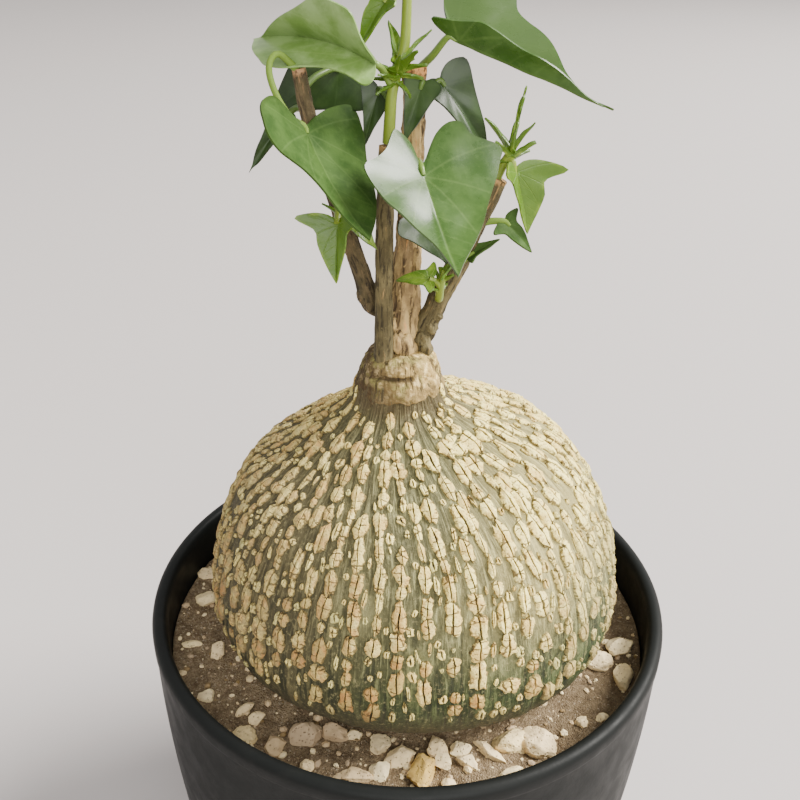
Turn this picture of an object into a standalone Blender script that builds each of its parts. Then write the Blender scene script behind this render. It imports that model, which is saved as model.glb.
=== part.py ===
# A potted gerrardanthus macrorhizus: a swollen, plaque-studded caudex that sits on sandy soil
# in a round black pot, with woody stems, green shoots and ivy-shaped leaves above it.
#
# Lengths are in metres. +Z is up, the origin is the middle of the pot's underside, and the
# side that faces -Y is the front.

import math
import random

import bmesh
import bpy
import numpy as np
from mathutils import Vector, noise

for old in list(bpy.data.objects):
    bpy.data.objects.remove(old, do_unlink=True)

# Driving dimensions
POT_RADIUS = 0.085
POT_HEIGHT = 0.140
POT_WALL = 0.0043
SOIL_LEVEL = 0.124
CAUDEX_RADIUS = 0.0655
CAUDEX_WIDEST_Z = 0.149
CAUDEX_CENTRE = (0.0020, -0.0012)
NECK_CENTRE = (-0.0040, -0.0010)
NECK_TOP = 0.2290
GAP = 0.0003
BLADE = 0.0007

POT_SEGMENTS = 48
DRAIN_RADIUS = 0.004
DRAIN_RING = 0.042
DRAINS = 6
DRAIN_SIDES = 10
PLAQUE_COLUMNS = 42
PLAQUE_ROWS = 11
PLAQUE_LIFT = 0.0012
PLAQUE_ROOM = 0.0018


def finish(name, colour, roughness, metallic=0.0):
    made = bpy.data.materials.new(name)
    made.use_nodes = True
    shader = made.node_tree.nodes["Principled BSDF"]
    shader.inputs["Base Color"].default_value = (*colour, 1.0)
    shader.inputs["Roughness"].default_value = roughness
    shader.inputs["Metallic"].default_value = metallic
    return made


BLACK = finish("pot_black", (0.012, 0.013, 0.014), 0.35)
EARTH = finish("sandy_soil", (0.30, 0.24, 0.19), 0.95)
CORK = finish("caudex_cork", (0.62, 0.52, 0.32), 0.8)
OLD_WOOD = finish("old_wood", (0.30, 0.19, 0.10), 0.85)
OLIVE_WOOD = finish("olive_wood", (0.20, 0.16, 0.08), 0.7)
LEAF_GREEN = finish("leaf_green", (0.10, 0.26, 0.06), 0.35)
DARK_GREEN = finish("leaf_dark_green", (0.03, 0.10, 0.035), 0.4)
YOUNG_GREEN = finish("young_green", (0.28, 0.40, 0.05), 0.45)


def add_object(name, bm, skin, smooth=True, angle=40):
    mesh = bpy.data.meshes.new(name)
    bm.to_mesh(mesh)
    bm.free()
    made = bpy.data.objects.new(name, mesh)
    bpy.context.scene.collection.objects.link(made)
    mesh.materials.append(skin)
    if smooth:
        mesh.shade_smooth()
        mesh.set_sharp_from_angle(angle=math.radians(angle))
    return made


def drop_scraps(target):
    """Keeps the largest connected piece of a mesh, so that no sliver or sealed bubble is left."""
    bm = bmesh.new()
    bm.from_mesh(target.data)
    waiting = set(bm.verts)
    pieces = []
    while waiting:
        piece, front = set(), [next(iter(waiting))]
        while front:
            vert = front.pop()
            if vert not in piece:
                piece.add(vert)
                front.extend(edge.other_vert(vert) for edge in vert.link_edges)
        pieces.append(piece)
        waiting -= piece
    largest = max(pieces, key=len)
    loose = [vert for vert in bm.verts if vert not in largest]
    bmesh.ops.delete(bm, geom=loose, context="VERTS")
    bm.to_mesh(target.data)
    bm.free()


def combine(target, others, operation):
    """Joins the others to the target, or cuts them from it, with one Boolean that is applied."""
    group = bpy.data.collections.new("combined")
    bpy.context.scene.collection.children.link(group)
    for other in others:
        group.objects.link(other)
        bpy.context.scene.collection.objects.unlink(other)
    boolean = target.modifiers.new(operation.lower(), "BOOLEAN")
    boolean.operand_type = "COLLECTION"
    boolean.collection = group
    boolean.operation = operation
    boolean.solver = "MANIFOLD"
    bpy.context.view_layer.update()
    graph = bpy.context.evaluated_depsgraph_get()
    joined = bpy.data.meshes.new_from_object(target.evaluated_get(graph))
    target.modifiers.clear()
    target.data = joined
    joined.name = target.name
    for other in others:
        bpy.data.objects.remove(other, do_unlink=True)
    bpy.data.collections.remove(group)
    drop_scraps(target)
    return target


def spun(profile):
    """A closed turned shape from (radius, z) points that start and end on the axis."""
    bm = bmesh.new()
    corners = [bm.verts.new((radius, 0.0, z)) for radius, z in profile]
    edges = [bm.edges.new(pair) for pair in zip(corners, corners[1:])]
    bmesh.ops.spin(
        bm, geom=corners + edges, cent=(0, 0, 0), axis=(0, 0, 1), angle=2 * math.pi,
        steps=POT_SEGMENTS, use_merge=True,
    )
    bmesh.ops.remove_doubles(bm, verts=bm.verts, dist=1e-6)
    bmesh.ops.recalc_face_normals(bm, faces=bm.faces)
    return bm


def smooth_path(points, steps):
    """Points on the Catmull-Rom curve through the given ones, each a tuple of any length."""
    known = [np.array(point, float) for point in points]
    ends = [2 * known[0] - known[1]] + known + [2 * known[-1] - known[-2]]
    found = []
    for a, b, c, d in zip(ends, ends[1:], ends[2:], ends[3:]):
        for step in range(steps):
            t = step / steps
            found.append(
                0.5 * (2 * b + (c - a) * t + (2 * a - 5 * b + 4 * c - d) * t**2
                       + (3 * b - a - 3 * c + d) * t**3)
            )
    return found + [known[-1]]


def tube(route, sides, steps=3, grow=0.0):
    """A closed round stem along a route of (x, y, z, radius) points; grow thickens it all round."""
    path = smooth_path(route, steps)
    places = [Vector(point[:3]) for point in path]
    radii = [float(point[3]) + grow for point in path]
    places[0] = places[0] + (places[0] - places[1]).normalized() * grow
    places[-1] = places[-1] + (places[-1] - places[-2]).normalized() * grow
    bm = bmesh.new()
    side = Vector((1, 0, 0))
    rings = []
    for index, place in enumerate(places):
        ahead = places[min(index + 1, len(places) - 1)]
        behind = places[max(index - 1, 0)]
        along = (ahead - behind).normalized()
        side = (side - along * side.dot(along)).normalized()
        up = along.cross(side)
        turns = [2 * math.pi * k / sides for k in range(sides)]
        rings.append(
            [bm.verts.new(place + radii[index] * (side * math.cos(t) + up * math.sin(t)))
             for t in turns]
        )
    for low, high in zip(rings, rings[1:]):
        for k in range(sides):
            bm.faces.new((low[k], low[(k + 1) % sides], high[(k + 1) % sides], high[k]))
    bm.faces.new(rings[0][::-1])
    bm.faces.new(rings[-1])
    bmesh.ops.recalc_face_normals(bm, faces=bm.faces)
    return bm


# The pot: a round, softly bellied planter with a rolled lip and drain holes in its floor
WALL_SET_BACK = 0.0005
WALL_FLARE = 0.0165
WALL_BELLY = 0.82


def pot_outer(z):
    """The outside radius of the wall: it draws in ever faster towards the foot."""
    below = POT_HEIGHT - z
    return POT_RADIUS - WALL_SET_BACK + WALL_FLARE * below - WALL_BELLY * below**2


def pot_inner(z):
    return pot_outer(z) - POT_WALL


FOOT_RADIUS = 0.0665
FLOOR = 0.0060
FLOOR_RADIUS = 0.0600
FLOOR_CORNER = 0.0040
OUTER_LEVELS = (0.012, 0.045, 0.080, 0.110, 0.1345)
INNER_LEVELS = (SOIL_LEVEL, 0.085, 0.045)


def make_pot():
    outside = [(0.0, 0.0), (FOOT_RADIUS, 0.0), (FOOT_RADIUS + 0.003, 0.0035)]
    outside += [(pot_outer(z), z) for z in OUTER_LEVELS]
    lip = [
        (POT_RADIUS, 0.1355), (POT_RADIUS, 0.1380), (0.0843, 0.1396), (0.0828, POT_HEIGHT),
        (0.0812, 0.1395), (0.0803, 0.1375),
    ]
    inside = [(pot_inner(z), z) for z in INNER_LEVELS]
    inside += [(FLOOR_RADIUS + FLOOR_CORNER, FLOOR + FLOOR_CORNER), (FLOOR_RADIUS, FLOOR), (0.0, FLOOR)]
    pot = add_object("pot", spun(outside + lip + inside), BLACK)
    drills = []
    for k in range(DRAINS):
        turn = 2 * math.pi * (k + 0.5) / DRAINS
        bm = bmesh.new()
        bmesh.ops.create_cone(
            bm, cap_ends=True, segments=DRAIN_SIDES, radius1=DRAIN_RADIUS, radius2=DRAIN_RADIUS,
            depth=4 * FLOOR,
        )
        at = (DRAIN_RING * math.cos(turn), DRAIN_RING * math.sin(turn), 0.0)
        bmesh.ops.translate(bm, verts=bm.verts, vec=at)
        drills.append(add_object("drill", bm, BLACK, smooth=False))
    return combine(pot, drills, "DIFFERENCE")


# The caudex: a flattened globe with a short neck, and a blunt tap root below the soil line
CAUDEX_PROFILE = (
    # radius, z; from the neck down to the sunken foot
    (0.0118, 0.2210), (0.0128, 0.2165), (0.0142, 0.2135), (0.0192, 0.2100), (0.0272, 0.2056),
    (0.0352, 0.2010), (0.0432, 0.1965), (0.0502, 0.1906), (0.0562, 0.1825), (0.0612, 0.1715),
    (0.0643, 0.1600), (CAUDEX_RADIUS, CAUDEX_WIDEST_Z), (0.0643, 0.1400), (0.0618, 0.1320),
    (0.0585, 0.1240), (0.0540, 0.1190), (0.0470, 0.1155),
)
ROOT_PROFILE = ((0.0320, 0.1125), (0.0140, 0.1060), (0.0060, 0.0850))
ROOT_TIP = 0.070
PLAQUES_FROM = 0.2135
PLAQUES_TO = 0.1265
SLOPE_STEP = 0.002
PLAQUE_STRAY = 0.10
PLAQUE_HALF_WIDTHS = (0.24, 0.40)
PLAQUE_GROWTHS = (0.3, 0.7, 0.9, 1.0, 1.1)
COLLAR_LUMPS = 0.0012
LEAN_FROM = 0.183
LEAN_TO = 0.2135
SHOULDER_TILT = 0.115
TILT_RISES = (0.184, 0.202)
TILT_FADES = (0.206, 0.226)
FRONT_TUCK = 0.22


def ease(value, low, high):
    """0 below low, 1 above high, and a smooth step between them."""
    part = min(max((value - low) / (high - low), 0.0), 1.0)
    return part * part * (3 - 2 * part)


def lean(z):
    """Where the caudex's middle is at height z: the neck stands a little left of the globe."""
    part = ease(z, LEAN_FROM, LEAN_TO)
    return [a + (b - a) * part for a, b in zip(CAUDEX_CENTRE, NECK_CENTRE)]


def caudex_point(turn, radius, z):
    """A point of the uneven globe: higher at its right shoulder, tucked in at its front foot."""
    x, y = lean(z)
    tilt = SHOULDER_TILT * ease(z, *TILT_RISES) * (1 - ease(z, *TILT_FADES))
    below = min(max((CAUDEX_WIDEST_Z - z) / (CAUDEX_WIDEST_Z - SOIL_LEVEL), 0.0), 1.2)
    tuck = 1 - FRONT_TUCK * below**2 * max(-math.sin(turn), 0.0)
    return (
        x + radius * math.cos(turn),
        y + radius * math.sin(turn) * tuck,
        z + tilt * radius * math.cos(turn),
    )


def caudex_ring(bm, radius, z, lumps=0.0):
    found = []
    for column in range(PLAQUE_COLUMNS):
        turn = column * 2 * math.pi / PLAQUE_COLUMNS
        bump = lumps * noise.noise(Vector((math.cos(turn), math.sin(turn), z * 90)) * 2.5)
        found.append(bm.verts.new(caudex_point(turn, radius + bump, z)))
    return found


def bridge(bm, upper, lower):
    for column in range(PLAQUE_COLUMNS):
        after = (column + 1) % PLAQUE_COLUMNS
        bm.faces.new((upper[column], upper[after], lower[after], lower[column]))


def close_ring(bm, ring, point):
    """Closes a ring with a fan of triangles round a point."""
    middle = bm.verts.new(point)
    for column in range(PLAQUE_COLUMNS):
        bm.faces.new((ring[column], ring[(column + 1) % PLAQUE_COLUMNS], middle))


def meridian():
    """(radius, z, outward slope in radius, outward slope in z) for each half row of plaques."""
    fine = smooth_path(CAUDEX_PROFILE, 12)
    first = next(i for i, point in enumerate(fine) if point[1] <= PLAQUES_FROM)
    last = next(i for i, point in enumerate(fine) if point[1] <= PLAQUES_TO)
    run = fine[first:last + 1]
    lengths = np.cumsum([0.0] + [float(np.linalg.norm(b - a)) for a, b in zip(run, run[1:])])

    def place(at):
        return np.array([float(np.interp(at, lengths, [point[k] for point in run])) for k in (0, 1)])

    levels = []
    for k in range(2 * PLAQUE_ROWS + 1):
        at = lengths[-1] * k / (2 * PLAQUE_ROWS)
        along = place(at + SLOPE_STEP) - place(at - SLOPE_STEP)
        along = along / np.linalg.norm(along)
        levels.append([float(value) for value in (*place(at), -along[1], along[0])])
    return levels


def make_caudex():
    """Strings of cracked plaques run down the globe, each plaque two corky halves of a diamond."""
    draw = random.Random(11)
    bm = bmesh.new()
    pitch = 2 * math.pi / PLAQUE_COLUMNS
    levels = meridian()
    last = len(levels) - 1
    left, right = {}, {}

    def vertex(turn, level):
        radius, z = levels[level][:2]
        return bm.verts.new(caudex_point(turn, radius, z))

    # Plaques sit in a staggered lattice, so that the tips of one string meet its neighbours' sides
    def is_plaque(column, level):
        return (column + level) % 2 == 1 and 0 < level < last

    for column in range(PLAQUE_COLUMNS):
        for level in range(last + 1):
            turn = (column + draw.uniform(-PLAQUE_STRAY, PLAQUE_STRAY)) * pitch
            if is_plaque(column, level):
                half = draw.uniform(*PLAQUE_HALF_WIDTHS) * pitch
                left[column, level] = vertex(turn - half, level)
                right[column, level] = vertex(turn + half, level)
            else:
                inside_row = 0 < level < last
                left[column, level] = vertex(turn if inside_row else column * pitch, level)
                right[column, level] = left[column, level]
    for column in range(PLAQUE_COLUMNS):
        following = (column + 1) % PLAQUE_COLUMNS
        for level in range(last):
            bm.faces.new((
                right[column, level], left[following, level],
                left[following, level + 1], right[column, level + 1],
            ))
        for level in range(1, last):
            if not is_plaque(column, level):
                continue
            top = left[column, level - 1]
            foot = left[column, level + 1]
            # Two peaks with the crack between them; a short neck of the string gets low ones
            radius, z, out, up = levels[level]
            high = PLAQUE_LIFT * draw.choice(PLAQUE_GROWTHS) * (0.3 + 0.7 * ease(radius, 0.015, 0.045))
            middle = 0.5 * (left[column, level].co + right[column, level].co)
            x, y = lean(z)
            for edge in (left[column, level], right[column, level]):
                part = edge.co * 0.45 + middle * 0.55
                away = Vector((part.x - x, part.y - y, 0.0)).normalized()
                peak = bm.verts.new(part + high * (away * out + Vector((0, 0, up))))
                bm.faces.new((peak, top, edge))
                bm.faces.new((peak, edge, foot))
                bm.faces.new((peak, foot, top))

    collar = [(0.0084, NECK_TOP - 0.0006), (0.0099, 0.2275), (0.0113, 0.2240), (0.0127, 0.2195),
              (0.0122, 0.2168), (0.0138, 0.2152)]
    rings = [caudex_ring(bm, radius, z, COLLAR_LUMPS) for radius, z in collar]
    close_ring(bm, rings[0], caudex_point(0.0, 0.0, NECK_TOP))
    rings.append([left[column, 0] for column in range(PLAQUE_COLUMNS)])
    for upper, lower in zip(rings, rings[1:]):
        bridge(bm, upper, lower)
    under = [point for point in CAUDEX_PROFILE if point[1] < PLAQUES_TO - 0.002] + list(ROOT_PROFILE)
    rings = [[left[column, last] for column in range(PLAQUE_COLUMNS)]]
    rings += [caudex_ring(bm, radius, z) for radius, z in under]
    for upper, lower in zip(rings, rings[1:]):
        bridge(bm, upper, lower)
    close_ring(bm, rings[-1], caudex_point(0.0, 0.0, ROOT_TIP))
    bmesh.ops.recalc_face_normals(bm, faces=bm.faces)
    return add_object("caudex", bm, CORK, angle=25)


def make_bed():
    """The hollow that the caudex leaves in the soil, wider above the soil line for its plaques."""
    bm = bmesh.new()
    rings = [caudex_ring(bm, CAUDEX_RADIUS + PLAQUE_ROOM, CAUDEX_WIDEST_Z)]
    for radius, z in CAUDEX_PROFILE + ROOT_PROFILE:
        if z < CAUDEX_WIDEST_Z:
            room = PLAQUE_ROOM if z > PLAQUES_TO else 1.3 * GAP
            rings.append(caudex_ring(bm, radius + room, z - GAP))
    for upper, lower in zip(rings, rings[1:]):
        bridge(bm, upper, lower)
    close_ring(bm, rings[0], caudex_point(0.0, 0.0, CAUDEX_WIDEST_Z))
    close_ring(bm, rings[-1], caudex_point(0.0, 0.0, ROOT_TIP - 2 * GAP))
    bmesh.ops.recalc_face_normals(bm, faces=bm.faces)
    return add_object("bed", bm, EARTH, smooth=False)


# The soil: sandy mix up to just under the lip, with a bed for the caudex and pumice on top
STONES = (
    # x, y in metres, then length, width and height in millimetres, and the turn in degrees
    (-0.0725, 0.020, 9, 6, 5, 10),
    (-0.072, -0.016, 6, 3, 2, 0),
    (-0.0625, -0.0185, 8, 5, 5, 80),
    (-0.062, -0.039, 5, 5, 4, 0),
    (-0.049, -0.043, 7, 3, 3, 55),
    (-0.045, -0.047, 5, 4, 4, 20),
    (-0.048, -0.0535, 8, 6, 5, -35),
    (-0.038, -0.057, 7, 6.5, 6, 15),
    (-0.0295, -0.053, 9.5, 8.5, 7, 70),
    (-0.0205, -0.052, 9, 7, 6, -20),
    (-0.0145, -0.0525, 5, 5, 4, 0),
    (-0.007, -0.0555, 7, 6, 5, -30),
    (-0.001, -0.059, 9.5, 6.5, 5, 25),
    (-0.007, -0.0645, 6.5, 6.5, 5, 0),
    (-0.0145, -0.067, 10.5, 5.5, 5, -8),
    (-0.028, -0.064, 5.5, 4.5, 4, 40),
    (0.0055, -0.064, 13, 8, 7, 84),
    (0.010, -0.0555, 7, 6.5, 5, 30),
    (0.0115, -0.0605, 5.5, 5.5, 4, 0),
    (0.017, -0.0560, 7, 4.5, 4, 20),
    (0.019, -0.061, 7, 5, 5, -30),
    (0.013, -0.0685, 4, 4, 3, 0),
    (0.026, -0.0575, 12, 4, 4, -38),
    (0.032, -0.0535, 12, 8.5, 7, 15),
    (0.0405, -0.053, 11, 10, 8, -50),
    (0.031, -0.064, 7, 4, 4, 30),
    (0.0545, -0.045, 5, 4, 4, 60),
    (0.061, -0.043, 4, 3.5, 3, 30),
    (0.0635, -0.0195, 8.5, 8, 7, 0),
    (0.072, -0.0125, 8.5, 8, 7, 40),
    (0.0705, -0.0255, 11, 6, 6, 80),
)
SCATTERED_STONES = 10
STONE_ROUGHNESS = 0.13
STONE_RISE = 0.12
SOIL_WAVES = 0.0011


def stone(x, y, length, width, height, turn, draw):
    """An angular grain of pumice, a knocked-about icosahedron sunk two fifths of its height."""
    bm = bmesh.new()
    bmesh.ops.create_icosphere(bm, subdivisions=1, radius=0.5)
    spin = math.radians(turn)
    for vert in bm.verts:
        rough = 1 + draw.uniform(-STONE_ROUGHNESS, STONE_ROUGHNESS)
        long = vert.co.x * length * 0.001 * rough
        wide = vert.co.y * width * 0.001 * rough
        vert.co = Vector((
            x + long * math.cos(spin) - wide * math.sin(spin),
            y + long * math.sin(spin) + wide * math.cos(spin),
            SOIL_LEVEL + height * 0.001 * (vert.co.z * rough + STONE_RISE),
        ))
    return add_object("stone", bm, EARTH, smooth=False)


def make_soil():
    side = [(pot_inner(z) - GAP, z) for z in INNER_LEVELS[1:]]
    profile = [(0.0, SOIL_LEVEL), (0.056, SOIL_LEVEL), (0.0645, SOIL_LEVEL), (0.073, SOIL_LEVEL),
               (pot_inner(SOIL_LEVEL) - GAP, SOIL_LEVEL - 0.0003)]
    corner = (FLOOR_RADIUS + FLOOR_CORNER - GAP, FLOOR + FLOOR_CORNER + GAP)
    profile += side + [corner, (FLOOR_RADIUS - GAP, FLOOR + GAP), (0.0, FLOOR + GAP)]
    bm = spun(profile)
    for vert in bm.verts:
        reach = math.hypot(vert.co.x, vert.co.y)
        if vert.co.z > SOIL_LEVEL - 0.002 and reach < 0.078:
            vert.co.z += SOIL_WAVES * noise.noise(vert.co * 60)
    bmesh.ops.triangulate(bm, faces=bm.faces)
    soil = add_object("soil", bm, EARTH)
    draw = random.Random(5)
    stones = [stone(*spec, draw) for spec in STONES]
    for _ in range(SCATTERED_STONES):
        turn = draw.uniform(-0.05, 1.02) * math.pi
        reach = draw.uniform(0.0655, 0.0735)
        size = draw.uniform(4.0, 9.0)
        stones.append(stone(
            reach * math.cos(turn), reach * math.sin(turn), size, size * 0.75, size * 0.65,
            draw.uniform(0, 180), draw,
        ))
    combine(soil, stones, "UNION")
    return combine(soil, [make_bed()], "DIFFERENCE")


# The woody stems: an old sawn trunk, and three younger stems that were cut back
TRUNK = (
    (-0.0035, 0.0010, 0.2272, 0.0066), (-0.0033, 0.0014, 0.2345, 0.0056),
    (-0.0030, 0.0020, 0.2430, 0.0047), (-0.0022, 0.0020, 0.2580, 0.0038),
    (-0.0013, 0.0020, 0.2818, 0.0029), (-0.0013, 0.0020, 0.2960, 0.0029),
    (-0.0012, 0.0020, 0.3070, 0.0033),
)
FRONT_STEM = (
    (-0.0084, -0.0062, 0.2262, 0.0027), (-0.0085, -0.0066, 0.2460, 0.0025),
    (-0.0085, -0.0064, 0.2690, 0.0024), (-0.0078, -0.0060, 0.2885, 0.0023),
)
LEFT_BRANCH = (
    (-0.0060, 0.0015, 0.2400, 0.0022), (-0.0105, -0.0002, 0.2412, 0.0029),
    (-0.0130, -0.0012, 0.2450, 0.0030), (-0.0154, -0.0025, 0.2536, 0.0025),
    (-0.0182, -0.0040, 0.2625, 0.0024), (-0.0214, -0.0060, 0.2741, 0.0022),
    (-0.0271, -0.0085, 0.2935, 0.0019), (-0.0297, -0.0095, 0.3077, 0.0018),
)
RIGHT_BRANCH = (
    (-0.0010, 0.0016, 0.2330, 0.0026), (0.0022, 0.0010, 0.2330, 0.0036),
    (0.0051, 0.0003, 0.2395, 0.0032), (0.0080, -0.0010, 0.2474, 0.0030),
    (0.0110, -0.0020, 0.2544, 0.0029), (0.0160, -0.0030, 0.2672, 0.0027),
    (0.0212, -0.0030, 0.2800, 0.0025),
)
SHOOT = (
    (-0.0077, -0.0060, 0.2892, 0.0016), (-0.0074, -0.0060, 0.2950, 0.0015),
    (-0.0069, -0.0060, 0.3018, 0.0014), (-0.0055, -0.0050, 0.3074, 0.0014),
    (-0.0040, -0.0042, 0.3126, 0.0013), (-0.0036, -0.0040, 0.3228, 0.0012),
    (-0.0034, -0.0034, 0.3330, 0.0011), (-0.0022, -0.0030, 0.3410, 0.0009),
)
STEM_SIDES = 8
STALK_SIDES = 5


def grown(route, by=GAP):
    return add_object("grown", tube(route, STEM_SIDES, steps=2, grow=by), OLIVE_WOOD, smooth=False)


def make_stem(name, route, skin, clear_of=()):
    stem = add_object(name, tube(route, STEM_SIDES, steps=2), skin)
    if clear_of:
        combine(stem, [grown(other) for other in clear_of], "DIFFERENCE")
    return stem


# The leaves: ivy-shaped blades, each on its stalk, folded along the midrib and arched
LEAF_HALF = (
    (-0.20, 0.11), (-0.32, 0.29), (-0.22, 0.48), (0.02, 0.60),
    (0.22, 0.45), (0.45, 0.31), (0.70, 0.16), (0.88, 0.05),
)
SMALL_HALF = ((-0.16, 0.12), (-0.20, 0.34), (0.02, 0.56), (0.22, 0.34), (0.60, 0.20))
LEAF_HEART = 0.07
FINE_RINGS = (0.36, 0.70, 1.0)


def aim(heading, dive):
    return Vector((math.cos(dive) * math.cos(heading), math.cos(dive) * math.sin(heading), math.sin(dive)))


def blade(base, heading, dive, bank, length, folds=(20, 20), arch=0.15, widths=(1, 1), lobe=1.0,
          side=0.0, sweep=0.0, small=False, rings=(0.5, 1.0)):
    """A thin closed blade. Heading and dive aim its tip and bank rolls it, all in degrees."""
    half = SMALL_HALF if small else LEAF_HALF
    half = [(x * lobe if x < 0 else x, y) for x, y in half]
    edge = [(0.0, 0.0)] + [(x, y * widths[0]) for x, y in half] + [(1.0, 0.0)]
    edge += [(x, -y * widths[1]) for x, y in reversed(half)]
    heading, dive, bank = (math.radians(a) for a in (heading, dive, bank))
    tip = aim(heading, dive)
    level = Vector((-math.sin(heading), math.cos(heading), 0.0))
    upright = tip.cross(level)
    across = level * math.cos(bank) + upright * math.sin(bank)
    up = upright * math.cos(bank) - level * math.sin(bank)

    def place(x, y):
        x += sweep * max(y, 0.0)
        fold = math.radians(folds[0] if y > 0 else folds[1])
        rise = abs(y) * math.sin(fold)
        turn = 2 * arch * x
        along = math.sin(turn) / (2 * arch) if arch else x
        drop = (1 - math.cos(turn)) / (2 * arch) if arch else 0.0
        out = Vector((
            along + rise * math.sin(turn),
            y * math.cos(fold) + side * max(x, 0.0) ** 2,
            rise * math.cos(turn) - drop,
        ))
        return Vector(base) + length * (tip * out.x + across * out.y + up * out.z)

    bm = bmesh.new()
    heart = bm.verts.new(place(LEAF_HEART, 0.0))
    loops = []
    for reach in rings:
        loops.append([
            bm.verts.new(place(LEAF_HEART + reach * (x - LEAF_HEART), reach * y)) for x, y in edge
        ])
    count = len(edge)
    for k in range(count):
        after = (k + 1) % count
        bm.faces.new((heart, loops[0][after], loops[0][k]))
        for inner, outer in zip(loops, loops[1:]):
            bm.faces.new((inner[k], inner[after], outer[after], outer[k]))
    bmesh.ops.triangulate(bm, faces=bm.faces)
    bmesh.ops.recalc_face_normals(bm, faces=bm.faces)
    bmesh.ops.solidify(bm, geom=bm.faces[:], thickness=BLADE)
    bmesh.ops.recalc_face_normals(bm, faces=bm.faces)
    return bm


def make_leafy(name, skin, blades, stalks, clear_of=()):
    """One node of blades and the stalks that carry them, cut back from the stems they grow on."""
    pieces = [add_object("stalk", tube(route, STALK_SIDES, steps=1), skin, smooth=False) for route in stalks]
    pieces += [add_object("blade", blade(**spec), skin, smooth=False) for spec in blades]
    pieces[0].name = name
    leafy = combine(pieces[0], pieces[1:], "UNION")
    if clear_of:
        combine(leafy, [grown(route) for route in clear_of], "DIFFERENCE")
    return leafy


make_pot()
caudex = make_caudex()
make_soil()

make_stem("trunk", TRUNK, OLD_WOOD)
make_stem("front_stem", FRONT_STEM, OLIVE_WOOD, [TRUNK])
make_stem("left_branch", LEFT_BRANCH, OLIVE_WOOD, [TRUNK, FRONT_STEM])
make_stem("right_branch", RIGHT_BRANCH, OLIVE_WOOD, [TRUNK])
combine(caudex, [grown(route) for route in (TRUNK, FRONT_STEM)], "DIFFERENCE")

# Leaves, each with its stalk: base, aim, roll and length, then the stalk's route to the base
HEART_AHEAD = 0.0015


def leaf(name, skin, stalk, clear_of, **pose):
    """A leaf whose stalk ends just under the blade's heart."""
    ahead = aim(math.radians(pose["heading"]), math.radians(pose["dive"]))
    end = Vector(pose["base"]) + (HEART_AHEAD + 0.02 * pose["length"]) * ahead
    route = [*stalk, (*pose["base"], 0.0009), (*end, 0.0007)]
    return make_leafy(name, skin, [pose], [route], clear_of)


leaf("leaf_front", LEAF_GREEN,
     [(-0.0020, -0.0010, 0.2835, 0.0010), (-0.0010, -0.0080, 0.2855, 0.0009),
      (0.0000, -0.0150, 0.2870, 0.0009)],
     [TRUNK], base=(0.0008, -0.0200, 0.2869), heading=-66, dive=-47, bank=0, length=0.038,
     folds=(7, 15), arch=-0.30, widths=(0.97, 0.80), lobe=0.92, side=-0.10, rings=FINE_RINGS)
leaf("leaf_left", LEAF_GREEN,
     [(-0.0297, -0.0100, 0.3070, 0.0011), (-0.0340, -0.0125, 0.3112, 0.0010),
      (-0.0360, -0.0150, 0.3085, 0.0010),
      (-0.0345, -0.0168, 0.3030, 0.0010), (-0.0312, -0.0168, 0.2975, 0.0010)],
     [LEFT_BRANCH], base=(-0.0280, -0.0160, 0.2952), heading=-58, dive=-47, bank=-27, length=0.036,
     folds=(12, 12), arch=-0.15, widths=(1.0, 1.05), lobe=0.60, rings=FINE_RINGS)
leaf("leaf_top_left", LEAF_GREEN,
     [(-0.0070, -0.0060, 0.3030, 0.0010), (-0.0092, -0.0080, 0.3072, 0.0009)],
     [SHOOT], base=(-0.0108, -0.0100, 0.3090), heading=148, dive=21, bank=-71, length=0.037,
     folds=(55, 62), arch=0.17, widths=(0.65, 1.35), lobe=0.55, side=0.35, rings=FINE_RINGS)
leaf("leaf_top_right", LEAF_GREEN,
     [(-0.0012, 0.0035, 0.3040, 0.0012), (0.0000, 0.0052, 0.3060, 0.0011),
      (0.0030, 0.0020, 0.3095, 0.0010)],
     [TRUNK], base=(0.0066, -0.0020, 0.3144), heading=-17, dive=-18, bank=7, length=0.0445,
     folds=(22, 22), arch=0.0, widths=(1.0, 1.0), lobe=0.50)
leaf("leaf_right_dark", DARK_GREEN,
     [(-0.0010, 0.0025, 0.2985, 0.0011), (0.0026, 0.0044, 0.3012, 0.0010)],
     [TRUNK], base=(0.0052, 0.0054, 0.3030), heading=-8, dive=-48, bank=55, length=0.026,
     folds=(22, 25), arch=0.25, widths=(0.55, 0.40), lobe=0.25)
leaf("leaf_centre_dark", DARK_GREEN,
     [(-0.0013, 0.0000, 0.3000, 0.0010), (0.0006, -0.0022, 0.3025, 0.0009)],
     [TRUNK], base=(0.0006, -0.0040, 0.3040), heading=205, dive=-72, bank=-62, length=0.0165,
     folds=(20, 25), arch=0.10, widths=(0.55, 0.50), lobe=0.25)
leaf("leaf_behind_left", DARK_GREEN,
     [(-0.0286, -0.0090, 0.3030, 0.0010), (-0.0262, -0.0010, 0.3045, 0.0009),
      (-0.0220, 0.0060, 0.3055, 0.0009)],
     [LEFT_BRANCH], base=(-0.0205, 0.0090, 0.3050), heading=196, dive=-24, bank=-55, length=0.024,
     folds=(15, 20), arch=0.2, widths=(1.0, 1.0), lobe=0.5)
leaf("leaf_behind_centre", DARK_GREEN,
     [(-0.0070, -0.0060, 0.2990, 0.0010), (-0.0088, -0.0032, 0.3010, 0.0009)],
     [SHOOT], base=(-0.0104, -0.0002, 0.3015), heading=215, dive=-70, bank=-45, length=0.0150,
     folds=(18, 18), arch=0.15, widths=(0.52, 0.52), lobe=0.3)
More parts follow.
